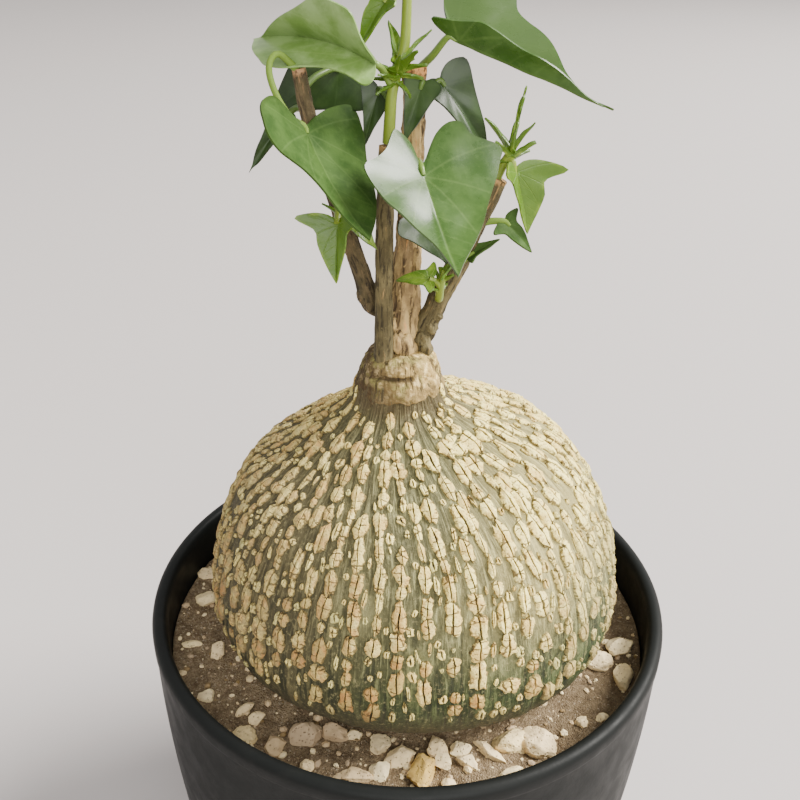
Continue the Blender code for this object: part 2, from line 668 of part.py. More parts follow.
leaf("leaf_far_left", DARK_GREEN,
     [(-0.0275, -0.0080, 0.2950, 0.0010), (-0.0310, 0.0000, 0.2965, 0.0009)],
     [LEFT_BRANCH], base=(-0.0352, 0.0035, 0.2935), heading=212, dive=-48, bank=-50, length=0.018,
     folds=(35, 35), arch=0.15, widths=(0.50, 0.55), lobe=0.3)
leaf("leaf_behind_front", DARK_GREEN,
     [(-0.0022, 0.0000, 0.2640, 0.0010), (-0.0012, -0.0040, 0.2675, 0.0009)],
     [TRUNK], base=(-0.0006, -0.0062, 0.2695), heading=-8, dive=-50, bank=50, length=0.0155,
     folds=(15, 15), arch=0.1, widths=(0.85, 0.75), lobe=0.5)

make_leafy("spray_low_left", YOUNG_GREEN, [
    dict(base=(-0.0205, -0.0125, 0.2705), heading=-100, dive=-72, bank=5, length=0.0165,
         folds=(30, 20), arch=0.1, widths=(0.75, 1.15), lobe=0.6, small=True),
    dict(base=(-0.0170, -0.0095, 0.2700), heading=-20, dive=-42, bank=45, length=0.0105,
         folds=(20, 20), arch=0.2, widths=(0.7, 0.7), lobe=0.6, small=True),
], [
    [(-0.0208, -0.0062, 0.2725, 0.0012), (-0.0205, -0.0100, 0.2722, 0.0011),
     (-0.0206, -0.0130, 0.2700, 0.0009)],
    [(-0.0205, -0.0095, 0.2724, 0.0010), (-0.0180, -0.0100, 0.2712, 0.0009),
     (-0.0162, -0.0097, 0.2692, 0.0008)],
], [LEFT_BRANCH])

make_leafy("spray_low_centre", YOUNG_GREEN, [
    dict(base=(0.0045, -0.0100, 0.2540), heading=175, dive=5, bank=-35, length=0.0105,
         folds=(15, 20), arch=0.3, widths=(0.8, 0.8), lobe=0.6, small=True),
    dict(base=(0.0078, -0.0095, 0.2550), heading=-10, dive=60, bank=20, length=0.0085,
         folds=(25, 25), arch=0.1, widths=(0.7, 0.7), lobe=0.6, small=True),
], [
    [(0.0068, -0.0015, 0.2455, 0.0013), (0.0068, -0.0060, 0.2470, 0.0012),
     (0.0070, -0.0088, 0.2512, 0.0011),
     (0.0079, -0.0096, 0.2562, 0.0008)],
    [(0.0070, -0.0086, 0.2510, 0.0010), (0.0058, -0.0098, 0.2532, 0.0009),
     (0.0038, -0.0101, 0.2541, 0.0008)],
], [RIGHT_BRANCH])

make_leafy("spray_right", YOUNG_GREEN, [
    dict(base=(0.0255, -0.0045, 0.2832), heading=-8, dive=-72, bank=42, length=0.0185,
         folds=(30, 25), arch=0.1, widths=(1.20, 0.6), lobe=0.8, sweep=0.35, small=True),
    dict(base=(0.0243, -0.0030, 0.2880), heading=60, dive=76, bank=0, length=0.0160,
         folds=(50, 50), widths=(0.22, 0.22), lobe=0.3, small=True),
    dict(base=(0.0246, -0.0034, 0.2872), heading=-50, dive=60, bank=0, length=0.0110,
         folds=(40, 40), widths=(0.35, 0.35), lobe=0.3, small=True),
    dict(base=(0.0236, -0.0030, 0.2868), heading=178, dive=62, bank=0, length=0.0110,
         folds=(40, 40), widths=(0.50, 0.50), lobe=0.3, small=True),
], [
    [(0.0205, -0.0030, 0.2795, 0.0014), (0.0222, -0.0030, 0.2835, 0.0013),
     (0.0238, -0.0032, 0.2865, 0.0012),
     (0.0246, -0.0031, 0.2900, 0.0009)],
    [(0.0232, -0.0032, 0.2852, 0.0010), (0.0246, -0.0042, 0.2846, 0.0009),
     (0.0252, -0.0045, 0.2815, 0.0008)],
], [RIGHT_BRANCH])

make_leafy("leaf_low_right", LEAF_GREEN, [
    dict(base=(0.0240, -0.0022, 0.2680), heading=-18, dive=-38, bank=42, length=0.0115,
         folds=(25, 30), arch=0.2, widths=(0.7, 1.1), lobe=0.6, small=True),
], [
    [(0.0158, -0.0030, 0.2668, 0.0011), (0.0190, -0.0032, 0.2682, 0.0010),
     (0.0225, -0.0028, 0.2684, 0.0009),
     (0.0250, -0.0022, 0.2673, 0.0007)],
], [RIGHT_BRANCH])

make_leafy("leaf_olive_right", LEAF_GREEN, [
    dict(base=(0.0145, -0.0052, 0.2592), heading=8, dive=33, bank=25, length=0.0095,
         folds=(20, 20), arch=0.1, widths=(0.7, 0.7), lobe=0.6, small=True),
], [
    [(0.0122, -0.0022, 0.2565, 0.0011), (0.0132, -0.0046, 0.2578, 0.0010),
     (0.0153, -0.0052, 0.2597, 0.0008)],
], [RIGHT_BRANCH])

SHOOT_LEAVES = [
    dict(base=(-0.0050, -0.0070, 0.3085), heading=35, dive=48, bank=0, length=0.0120,
         folds=(45, 45), widths=(0.25, 0.25), lobe=0.3, small=True),
    dict(base=(-0.0052, -0.0036, 0.3085), heading=120, dive=66, bank=0, length=0.0110,
         folds=(35, 35), widths=(0.6, 0.6), lobe=0.3, small=True),
    dict(base=(-0.0046, -0.0066, 0.3065), heading=-60, dive=48, bank=0, length=0.0100,
         folds=(35, 35), widths=(0.7, 0.6), lobe=0.4, small=True),
    dict(base=(-0.0085, -0.0050, 0.3230), heading=190, dive=-55, bank=-40, length=0.0140,
         folds=(30, 30), arch=0.1, widths=(0.8, 0.8), lobe=0.7, small=True),
    dict(base=(0.0020, -0.0020, 0.3400), heading=25, dive=10, bank=15, length=0.0200,
         folds=(20, 20), arch=0.25, widths=(0.9, 0.9), lobe=0.8, small=True),
    dict(base=(-0.0050, 0.0020, 0.3440), heading=120, dive=25, bank=0, length=0.0170,
         folds=(20, 20), arch=0.3, widths=(0.9, 0.9), lobe=0.8, small=True),
    dict(base=(-0.0025, -0.0050, 0.3440), heading=-110, dive=35, bank=0, length=0.0110,
         folds=(30, 30), arch=0.2, widths=(0.7, 0.7), lobe=0.6, small=True),
]
make_leafy("main_shoot", YOUNG_GREEN, SHOOT_LEAVES, [
    SHOOT,
    [(-0.0036, -0.0040, 0.3265, 0.0009), (-0.0060, -0.0045, 0.3262, 0.0009),
     (-0.0090, -0.0051, 0.3222, 0.0007)],
    [(-0.0030, -0.0033, 0.3350, 0.0009), (0.0000, -0.0026, 0.3385, 0.0009),
     (0.0035, -0.0016, 0.3402, 0.0007)],
    [(-0.0026, -0.0031, 0.3385, 0.0009), (-0.0040, 0.0000, 0.3420, 0.0009),
     (-0.0056, 0.0033, 0.3447, 0.0007)],
    [(-0.0024, -0.0030, 0.3400, 0.0008), (-0.0024, -0.0040, 0.3425, 0.0007),
     (-0.0028, -0.0062, 0.3450, 0.0006)],
])
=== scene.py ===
import math
import random

import bmesh
import bpy
import numpy as np
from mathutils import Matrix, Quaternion, Vector, noise


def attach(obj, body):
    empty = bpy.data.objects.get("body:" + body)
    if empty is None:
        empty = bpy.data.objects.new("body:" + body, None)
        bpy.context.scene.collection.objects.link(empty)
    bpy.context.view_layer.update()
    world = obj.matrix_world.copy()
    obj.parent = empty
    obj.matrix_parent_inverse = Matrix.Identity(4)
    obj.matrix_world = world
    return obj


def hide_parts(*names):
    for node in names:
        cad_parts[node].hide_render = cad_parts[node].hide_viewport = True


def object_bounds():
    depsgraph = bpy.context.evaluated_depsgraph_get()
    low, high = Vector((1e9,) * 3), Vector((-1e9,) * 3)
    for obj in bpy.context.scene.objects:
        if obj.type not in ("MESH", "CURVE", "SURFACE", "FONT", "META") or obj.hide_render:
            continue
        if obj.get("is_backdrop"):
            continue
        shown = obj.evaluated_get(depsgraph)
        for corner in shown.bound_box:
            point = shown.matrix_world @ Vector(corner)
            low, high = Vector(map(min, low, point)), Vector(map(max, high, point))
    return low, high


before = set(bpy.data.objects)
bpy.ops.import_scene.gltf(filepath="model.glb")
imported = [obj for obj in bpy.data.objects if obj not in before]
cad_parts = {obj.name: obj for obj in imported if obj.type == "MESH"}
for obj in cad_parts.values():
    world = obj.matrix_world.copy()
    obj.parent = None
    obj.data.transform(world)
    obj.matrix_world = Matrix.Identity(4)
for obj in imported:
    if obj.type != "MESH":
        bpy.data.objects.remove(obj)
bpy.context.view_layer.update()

# The pot is a round planter moulded in satin black plastic, with a thin bellied wall.
# Its rolled lip catches the light, and six drain holes go through its floor.
POT_RADIUS = 0.085
POT_HEIGHT = 0.140
POT_WALL = 0.0043
POT_TURNS = 144
FLOOR = 0.0060
FLOOR_RADIUS = 0.0600
FOOT_RADIUS = 0.0665
DRAIN_RADIUS = 0.004
DRAIN_RING = 0.042
DRAINS = 6
LIP_STEP = 0.0005
WALL_SLOPE = 0.0165
WALL_BELLY = 0.82


def pot_outer(z):
    """The outer wall's radius, along the slight belly between foot and lip."""
    below = POT_HEIGHT - z
    return POT_RADIUS - LIP_STEP + WALL_SLOPE * below - WALL_BELLY * below**2


def turned(profile, steps):
    """A closed shape turned round the pot's axis, from (radius, z) points that start and end on it."""
    bm = bmesh.new()
    corners = [bm.verts.new((radius, 0.0, z)) for radius, z in profile]
    edges = [bm.edges.new(pair) for pair in zip(corners, corners[1:])]
    bmesh.ops.spin(bm, geom=corners + edges, cent=(0, 0, 0), axis=(0, 0, 1), angle=2 * math.pi,
                   steps=steps, use_merge=True)
    bmesh.ops.remove_doubles(bm, verts=bm.verts, dist=1e-6)
    bmesh.ops.recalc_face_normals(bm, faces=bm.faces)
    return bm


def put_up(name, bm, finish, slot, *nodes, sharp=40):
    """Makes the mesh a piece of the plant, in place of the CAD nodes named."""
    mesh = bpy.data.meshes.new(name)
    bm.to_mesh(mesh)
    bm.free()
    mesh.materials.append(finish)
    mesh.shade_smooth()
    mesh.set_sharp_from_angle(angle=math.radians(sharp))
    piece = bpy.data.objects.new(name, mesh)
    bpy.context.scene.collection.objects.link(piece)
    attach(piece, "root")
    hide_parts(*nodes)
    return piece


def finish_for(name, roughness, specular=0.5):
    """A new material, its shader, and the place on the piece that its patterns follow."""
    made = bpy.data.materials.new(name)
    made.use_nodes = True
    shader = made.node_tree.nodes["Principled BSDF"]
    shader.inputs["Roughness"].default_value = roughness
    shader.inputs["Specular IOR Level"].default_value = specular
    return made, shader, add("TexCoord", tree=made.node_tree).outputs["Object"]


def add(kind, feeds=None, tree=None, **settings):
    """A shader node with its settings, in the tree of what goes into its sockets or in the one given."""
    tree = tree or next(value.id_data for value in feeds.values() if isinstance(value, bpy.types.NodeSocket))
    made = tree.nodes.new("ShaderNode" + kind)
    for name, value in settings.items():
        setattr(made, name, value)
    for socket, value in (feeds or {}).items():
        if isinstance(value, bpy.types.NodeSocket):
            tree.links.new(value, made.inputs[socket])
        else:
            made.inputs[socket].default_value = value
    return made


def feed(node, socket, value):
    node.id_data.links.new(value, node.inputs[socket])


def kept(shader, name, output="Fac"):
    """What the piece's mesh holds under this name."""
    return add("Attribute", tree=shader.id_data, attribute_name=name).outputs[output]


def axes(vector):
    """The vector's x, y and z."""
    return add("SeparateXYZ", {0: vector}).outputs[:]


def sums(operation, one, other=0.0):
    return add("Math", {0: one, 1: other}, operation=operation).outputs[0]


def times(one, other):
    return sums("MULTIPLY", one, other)


def between(value, low, high, to_low=0.0, to_high=1.0):
    """The value's place between low and high as a smooth step, from to_low to to_high."""
    feeds = {"Value": value, "From Min": low, "From Max": high, "To Min": to_low, "To Max": to_high}
    return add("MapRange", feeds, interpolation_type="SMOOTHSTEP").outputs[0]


def blended(share, one, other):
    one = (*one, 1.0) if isinstance(one, tuple) else one
    other = (*other, 1.0) if isinstance(other, tuple) else other
    return add("Mix", {0: share, 6: one, 7: other}, data_type="RGBA").outputs[2]


def cloudy(vector, scale, detail=4.0, roughness=0.55, distortion=0.0):
    feeds = {"Vector": vector, "Scale": scale, "Detail": detail, "Roughness": roughness,
             "Distortion": distortion}
    return add("TexNoise", feeds).outputs["Fac"]


def layered(colour, *layers):
    """The colour with others laid over it in turn, each where its share is."""
    for share, over in layers:
        colour = blended(share, colour, over)
    return colour


def painted(shader, colour, *layers):
    """Gives the finish this colour, with the layers over it."""
    feed(shader, "Base Color", layered(colour, *layers))


def relief(shader, height, strength, distance):
    """Raises the height as fine relief, distance in metres."""
    bump = add("Bump", {"Height": height, "Strength": strength, "Distance": distance})
    feed(shader, "Normal", bump.outputs[0])


def effect(name, takes, gives):
    """A shader group for an effect that several finishes use: its tree, its inputs and its output node."""
    tree = bpy.data.node_groups.new(name, "ShaderNodeTree")
    for label, kind in takes.items():
        tree.interface.new_socket(label, in_out="INPUT", socket_type="NodeSocket" + kind)
    for label in gives:
        tree.interface.new_socket(label, in_out="OUTPUT", socket_type="NodeSocketFloat")
    return tree, tree.nodes.new("NodeGroupInput").outputs, tree.nodes.new("NodeGroupOutput")


patch_effect, takes, gives = effect(
    "patches", {"Place": "Vector", "Scale": "Float", "Low": "Float", "High": "Float", "Amount": "Float"},
    ["Share", "Cloud"])
cloud = cloudy(takes["Place"], takes["Scale"], 5, 0.62)
feed(gives, "Cloud", cloud)
feed(gives, "Share", between(cloud, takes["Low"], takes["High"], 0.0, takes["Amount"]))


def patches(place, scale, low, high, amount=1.0):
    """Soft-edged patches of dust, stain or mottling, and the cloud that they are cut from."""
    feeds = {"Place": place, "Scale": scale, "Low": low, "High": high, "Amount": amount}
    return add("Group", feeds, node_tree=patch_effect).outputs[:]


pot_black, shader, place = finish_for("pot_black", 0.48, 0.10)
dust, _ = patches(place, 55, 0.52, 0.78)
near_lip = between(axes(place)[2], 0.122, 0.137, 0.04, 0.18)
painted(shader, (0.0062, 0.0070, 0.0066), (times(dust, near_lip), (0.036, 0.033, 0.028)))
feed(shader, "Roughness", between(cloudy(place, 130, 3), 0.3, 0.7, 0.42, 0.54))
relief(shader, cloudy(place, 900, 3), 0.10, 0.0004)

outside = [(0.0, 0.0), (FOOT_RADIUS - 0.0012, 0.0), (FOOT_RADIUS, 0.0003), (FOOT_RADIUS + 0.003, 0.0035)]
outside += [(pot_outer(z), z) for z in np.linspace(0.010, 0.1338, 26).tolist()]
lip = [
    (POT_RADIUS - 0.0003, 0.1344), (POT_RADIUS, 0.1352), (POT_RADIUS, 0.1378), (POT_RADIUS - 0.0002, 0.1386),
    (POT_RADIUS - 0.0008, 0.1394), (POT_RADIUS - 0.0015, 0.1398), (POT_RADIUS - 0.0023, POT_HEIGHT),
    (POT_RADIUS - 0.0031, 0.1399), (POT_RADIUS - 0.0038, 0.1395), (POT_RADIUS - 0.0043, 0.1388),
    (POT_RADIUS - 0.0047, 0.1376), (POT_RADIUS - 0.0048, 0.1360),
]
inside = [(pot_outer(z) - POT_WALL, z) for z in np.linspace(0.128, 0.016, 14).tolist()]
inside += [(FLOOR_RADIUS + 0.004, FLOOR + 0.004), (FLOOR_RADIUS + 0.0012, FLOOR + 0.0006),
           (FLOOR_RADIUS, FLOOR), (0.0, FLOOR)]
pot = put_up("pot_shell", turned(outside + lip + inside, POT_TURNS), pot_black, "pot_black", "pot")
drills = bmesh.new()
for k in range(DRAINS):
    turn = 2 * math.pi * (k + 0.5) / DRAINS
    drill = bmesh.ops.create_cone(drills, cap_ends=True, segments=32, radius1=DRAIN_RADIUS,
                                  radius2=DRAIN_RADIUS, depth=4 * FLOOR)
    at = (DRAIN_RING * math.cos(turn), DRAIN_RING * math.sin(turn), 0.0)
    bmesh.ops.translate(drills, verts=drill["verts"], vec=at)
drill_mesh = bpy.data.meshes.new("drills")
drills.to_mesh(drill_mesh)
drills.free()
drill_set = bpy.data.objects.new("drills", drill_mesh)
bpy.context.scene.collection.objects.link(drill_set)
holes = pot.modifiers.new("drain_holes", "BOOLEAN")
holes.object = drill_set
holes.operation = "DIFFERENCE"
holes.solver = "MANIFOLD"
bpy.context.view_layer.update()
pierced = bpy.data.meshes.new_from_object(pot.evaluated_get(bpy.context.evaluated_depsgraph_get()))
pot.modifiers.clear()
pot.data = pierced
bpy.data.objects.remove(drill_set)

# The soil is a sandy taupe mix, filled to just under the lip and pressed round the caudex's foot.
# It lies loose in the pot, with a hollow where the caudex and its tap root sit.
SOIL_LEVEL = 0.124
SOIL_GAP = 0.0003
SOIL_WAVES = 0.0011
SOIL_CLODS = 0.00045
SOIL_EDGE = 0.0795
SOIL_EDGE_DROP = 0.0004
HEAP_HEIGHT, HEAP_REACH, HEAP_WIDTH = 0.0010, 0.060, 0.0035
CAUDEX_CENTRE = (0.0020, -0.0012)
FRONT_TUCK = 0.22
BED = ((0.0, 0.070), (0.006, 0.085), (0.014, 0.106), (0.032, 0.1125), (0.047, 0.1155), (0.054, 0.119),
       (0.0585, 0.124), (0.0618, 0.132), (0.070, 0.160))


def soil_top(x, y):
    """The soil's surface: low waves, fine clods, and the caudex's bed."""
    top = SOIL_LEVEL + SOIL_WAVES * noise.noise(Vector((x, y, SOIL_LEVEL)) * 60)
    top += SOIL_CLODS * noise.fractal(Vector((x, y, 0.0)) * 320, 0.6, 2.1, 4)
    dx, dy = x - CAUDEX_CENTRE[0], y - CAUDEX_CENTRE[1]
    tuck = 1 - FRONT_TUCK * max(-math.sin(math.atan2(dy, dx)), 0.0)
    reach = math.hypot(dx, dy / tuck)
    bed = float(np.interp(reach, [r for r, _ in BED], [z for _, z in BED]))
    heaped = HEAP_HEIGHT * math.exp(-((reach - HEAP_REACH) / HEAP_WIDTH) ** 2)
    return min(top + heaped, bed - SOIL_GAP)


sandy_soil, shader, place = finish_for("sandy_soil", 0.95, 0.15)
_, clods = patches(place, 260, 0.3, 0.7)
grains = add("TexVoronoi", {"Vector": place, "Scale": 2100}, feature="F1").outputs
speck = add("SeparateColor", {0: grains["Color"]}).outputs[0]
fine = cloudy(place, 1100, 4, 0.75)
painted(shader, (0.140, 0.098, 0.056),
        (between(clods, 0.30, 0.72), (0.265, 0.196, 0.116)),
        (between(fine, 0.50, 0.66, 0.0, 0.55), (0.42, 0.32, 0.19)),
        (between(fine, 0.46, 0.34, 0.0, 0.7), (0.060, 0.042, 0.025)),
        (between(speck, 0.93, 0.99, 0.0, 0.7), (0.50, 0.41, 0.29)),
        # Painted shade: the soil is darkened towards the right, where the key light falls strongest.
        (between(axes(place)[0], 0.020, 0.060, 0.0, 0.35), (0.088, 0.062, 0.036)))
rough = sums("ADD", times(clods, 1.2), sums("SUBTRACT", fine, grains["Distance"]))
relief(shader, rough, 0.8, 0.0007)

rings = [(r, SOIL_LEVEL) for r in np.linspace(0.0, 0.050, 12).tolist()]
rings += [(r, SOIL_LEVEL) for r in np.linspace(0.0505, SOIL_EDGE, 54).tolist()]
rings += [(pot_outer(z) - POT_WALL - SOIL_GAP, z) for z in (SOIL_LEVEL, 0.105, 0.085, 0.065, 0.045, 0.016)]
rings += [(FLOOR_RADIUS + 0.0037, FLOOR + 0.0043), (FLOOR_RADIUS - SOIL_GAP, FLOOR + SOIL_GAP),
          (0.0, FLOOR + SOIL_GAP)]
bm = turned(rings, 300)
for vert in bm.verts:
    if vert.co.z > SOIL_LEVEL - 0.001:
        inside_edge = math.hypot(vert.co.x, vert.co.y) < SOIL_EDGE
        vert.co.z = soil_top(vert.co.x, vert.co.y) if inside_edge else SOIL_LEVEL - SOIL_EDGE_DROP
put_up("soil_bed", bm, sandy_soil, "sandy_soil", "soil", sharp=80)

# Pumice lies on the soil: pale grains sieved to a few millimetres, broken, angular and full of pores.
# They lie loose, each sunk a little, with finer grit between them.
STONES = (
    # x, y in metres, then length, width and height in millimetres, and the turn in degrees
    (-0.0725, 0.020, 9, 6, 5, 10), (-0.072, -0.016, 6, 3, 2, 0), (-0.0625, -0.0185, 8, 5, 5, 80),
    (-0.062, -0.039, 5, 5, 4, 0), (-0.049, -0.043, 7, 3, 3, 55), (-0.045, -0.047, 5, 4, 4, 20),
    (-0.048, -0.0535, 8, 6, 5, -35), (-0.038, -0.057, 7, 6.5, 6, 15), (-0.0295, -0.053, 9.5, 8.5, 7, 70),
    (-0.0205, -0.052, 9, 7, 6, -20), (-0.0145, -0.0525, 5, 5, 4, 0), (-0.007, -0.0555, 7, 6, 5, -30),
    (-0.001, -0.059, 9.5, 6.5, 5, 25), (-0.007, -0.0645, 6.5, 6.5, 5, 0), (-0.0145, -0.067, 10.5, 5.5, 5, -8),
    (-0.028, -0.064, 5.5, 4.5, 4, 40), (0.0055, -0.064, 13, 8, 7, 84), (0.010, -0.0555, 7, 6.5, 5, 30),
    (0.0115, -0.0605, 5.5, 5.5, 4, 0), (0.017, -0.0560, 7, 4.5, 4, 20), (0.019, -0.061, 7, 5, 5, -30),
    (0.013, -0.0685, 4, 4, 3, 0), (0.026, -0.0575, 12, 4, 4, -38), (0.032, -0.0535, 12, 8.5, 7, 15),
    (0.0405, -0.053, 11, 10, 8, -50), (0.031, -0.064, 7, 4, 4, 30), (0.0545, -0.045, 5, 4, 4, 60),
    (0.061, -0.043, 4, 3.5, 3, 30), (0.0635, -0.0195, 8.5, 8, 7, 0), (0.072, -0.0125, 8.5, 8, 7, 40),
    (0.0705, -0.0255, 11, 6, 6, 80),
)
# Warm yellow, tan, pink and grey ones among the cream, by their place in the list
STONE_TONES = {16: 0.88, 11: 0.62, 12: 0.55, 24: 0.45, 7: 0.30, 8: 0.12, 9: 0.2, 14: 0.35}
SCATTERED_STONES = 10
STONE_CHIPS = 15
STONE_SPREAD = 1.16
STONE_RISE = 0.14
STONE_PITTING = 0.085
# Stones lower than this, in millimetres, lie on the soil's waves, and taller ones at its level
LOW_STONE = 2.5
MILLIMETRE = 0.001
PLAIN_TONES = (0.42, 0.80)
# How far from the pot's axis the scattered stones and the grit lie
STONE_RING = (0.0655, 0.0735)
GRIT_RING = (0.0520, 0.0785)
GRIT = 700
GRIT_TONES = (0.1, 0.2, 0.3, 0.5, 0.6, 0.7, 0.75, 0.97)

pumice, shader, place = finish_for("pumice", 0.92, 0.2)
colour = add("ValToRGB", {"Fac": kept(shader, "tone")})
stops = ((0.0, (0.36, 0.28, 0.19)), (0.25, (0.58, 0.42, 0.24)), (0.5, (0.84, 0.66, 0.37)),
         (0.75, (0.92, 0.77, 0.46)), (0.88, (0.66, 0.44, 0.12)), (1.0, (0.10, 0.07, 0.05)))
ramp = colour.color_ramp
ramp.elements[0].position, ramp.elements[0].color = stops[0][0], (*stops[0][1], 1)
ramp.elements[1].position, ramp.elements[1].color = stops[-1][0], (*stops[-1][1], 1)
for at, shade in stops[1:-1]:
    ramp.elements.new(at).color = (*shade, 1)
pores = add("TexVoronoi", {"Vector": place, "Scale": 950}, feature="F1").outputs["Distance"]
worn, cloud = patches(place, 420, 0.42, 0.66, 0.32)
painted(shader, colour.outputs[0],
        (worn, (0.42, 0.30, 0.18)),
        (between(pores, 0.26, 0.08, 0.0, 0.55), (0.16, 0.105, 0.065)))
relief(shader, sums("ADD", cloud, between(pores, 0.0, 0.35)), 0.8, 0.0006)


def stone_at(bm, x, y, length, width, height, turn, draw, tone, fineness, chips):
    """A grain of pumice: a ball knocked flat on many sides, then roughened."""
    grain = bmesh.ops.create_icosphere(bm, subdivisions=fineness, radius=0.5)
    flats = []
    for _ in range(chips):
        slope, round_it = draw.uniform(-1, 1), draw.uniform(0, 2 * math.pi)
        level = math.sqrt(1 - slope**2)
        flats.append((Vector((level * math.cos(round_it), level * math.sin(round_it), slope)),
                      draw.uniform(0.30, 0.43)))
    spin = math.radians(turn)
    ground = SOIL_LEVEL if height > LOW_STONE else soil_top(x, y)
    for vert in grain["verts"]:
        if not chips:
            vert.co *= 1 + draw.uniform(-0.15, 0.15)
        for facing, reach in flats:
            vert.co -= facing * max(vert.co.dot(facing) - reach, 0.0)
        pitted = noise.fractal(vert.co * 6.0 + Vector((x, y, 0)) * 900, 0.6, 2.0, 3) if chips else 0.0
        grown = 1 + STONE_PITTING * pitted
        long = vert.co.x * length * MILLIMETRE * grown * STONE_SPREAD
        wide = vert.co.y * width * MILLIMETRE * grown * STONE_SPREAD
        vert.co = Vector((
            x + long * math.cos(spin) - wide * math.sin(spin),
            y + long * math.sin(spin) + wide * math.cos(spin),
            ground + height * MILLIMETRE * (vert.co.z * grown + STONE_RISE),
        ))
        vert[bm.verts.layers.float["tone"]] = tone


draw = random.Random(5)
tint = random.Random(8)
bm = bmesh.new()
bm.verts.layers.float.new("tone")
for index, spec in enumerate(STONES):
    stone_at(bm, *spec, draw, STONE_TONES.get(index, tint.uniform(*PLAIN_TONES)), 4, STONE_CHIPS)
for _ in range(SCATTERED_STONES):
    turn = draw.uniform(-0.05, 1.02) * math.pi
    reach = draw.uniform(*STONE_RING)
    size = draw.uniform(4.0, 9.0)
    stone_at(bm, reach * math.cos(turn), reach * math.sin(turn), size, size * 0.75, size * 0.65,
             draw.uniform(0, 180), draw, tint.uniform(*PLAIN_TONES), 4, STONE_CHIPS)
put_up("pumice_stones", bm, pumice, "sandy_soil", "soil", sharp=28)

bm = bmesh.new()
bm.verts.layers.float.new("tone")
for _ in range(GRIT):
    turn = tint.uniform(-math.pi, math.pi)
    reach = tint.uniform(*GRIT_RING)
    size = 0.6 + 2.4 * tint.random() ** 3
    stone_at(bm, reach * math.cos(turn), reach * math.sin(turn), size, size * tint.uniform(0.6, 1.0),
             size * 0.7, tint.uniform(0, 180), tint, tint.choice(GRIT_TONES), 1, 0)
put_up("grit", bm, pumice, "sandy_soil", "soil", sharp=20)

# The caudex is the plant's swollen stem, a flattened globe of green living tissue.
# Its thin skin is streaked lengthwise with sage and grey fibres, and runs down to a blunt tap root.
CAUDEX_WIDEST_Z = 0.149
NECK_CENTRE = (-0.0040, -0.0010)
CAUDEX_PROFILE = (
    (0.0, 0.2232), (0.0095, 0.2229), (0.0116, 0.2220), (0.0124, 0.2205), (0.0128, 0.2190), (0.0132, 0.2172),
    (0.0139, 0.2150), (0.0150, 0.2132), (0.0170, 0.2114), (0.0200, 0.2095), (0.0272, 0.2056),
    (0.0352, 0.2010), (0.0432, 0.1965), (0.0502, 0.1906), (0.0562, 0.1825), (0.0612, 0.1715), (0.0643, 0.1600),
    (0.0655, CAUDEX_WIDEST_Z), (0.0643, 0.1400), (0.0618, 0.1320), (0.0585, 0.1240), (0.0540, 0.1190),
    (0.0470, 0.1155), (0.0320, 0.1125), (0.0140, 0.1060), (0.0060, 0.0850), (0.0, 0.070),
)
LEAN_FROM, LEAN_TO = 0.183, 0.2135
SHOULDER_TILT = 0.115
TILT_RISES = (0.184, 0.202)
TILT_FADES = (0.206, 0.226)


def ease(value, low, high):
    part = min(max((value - low) / (high - low), 0.0), 1.0)
    return part * part * (3 - 2 * part)


def caudex_point(turn, radius, z):
    """A point of the uneven globe: neck leaning left, right shoulder high, front foot tucked in."""
    part = ease(z, LEAN_FROM, LEAN_TO)
    x, y = (a + (b - a) * part for a, b in zip(CAUDEX_CENTRE, NECK_CENTRE))
    tilt = SHOULDER_TILT * ease(z, *TILT_RISES) * (1 - ease(z, *TILT_FADES))
    below = min(max((CAUDEX_WIDEST_Z - z) / (CAUDEX_WIDEST_Z - SOIL_LEVEL), 0.0), 1.2)
    tuck = 1 - FRONT_TUCK * below**2 * max(-math.sin(turn), 0.0)
    return Vector((x + radius * math.cos(turn), y + radius * math.sin(turn) * tuck,
                   z + tilt * radius * math.cos(turn)))


def smooth_path(points, steps):
    """Points on the smooth curve through the given ones, each a tuple of any length."""
    known = [np.array(point, float) for point in points]
    ends = [2 * known[0] - known[1]] + known + [2 * known[-1] - known[-2]]
    found = []
    for a, b, c, d in zip(ends, ends[1:], ends[2:], ends[3:]):
        for step in range(steps):
            t = step / steps
            found.append(0.5 * (2 * b + (c - a) * t + (2 * a - 5 * b + 4 * c - d) * t**2
                                + (3 * b - a - 3 * c + d) * t**3))
    return found + [known[-1]]


def run_along(points):
    """How far along a line each of its points lies."""
    return np.concatenate([[0.0], np.cumsum(np.linalg.norm(np.diff(points, axis=0), axis=1))])


meridian = np.array(smooth_path(CAUDEX_PROFILE, 12))
meridian[:, 0] = np.maximum(meridian[:, 0], 0.0)
gone = run_along(meridian)
slopes = np.gradient(meridian, gone, axis=0)
slopes /= np.linalg.norm(slopes, axis=1)[:, None]
FOOT_Z, NECK_Z = 0.1265, 0.2188
# How far down from the top, along the skin, the foot and the neck lie
FOOT = float(np.interp(-FOOT_Z, -meridian[:, 1], gone))
NECK = float(np.interp(-NECK_Z, -meridian[:, 1], gone))


def girth(run):
    """The skin's radius at a run down from the top along the meridian."""
    return float(np.interp(run, gone, meridian[:, 0]))


def on_caudex(turn, run, lift):
    """A point lift above the skin, at a run down from the top along the meridian."""
    z = float(np.interp(run, gone, meridian[:, 1]))
    along, down = (float(np.interp(run, gone, slopes[:, k])) for k in (0, 1))
    return caudex_point(turn, max(girth(run) - lift * down, 0.0), z + lift * along)


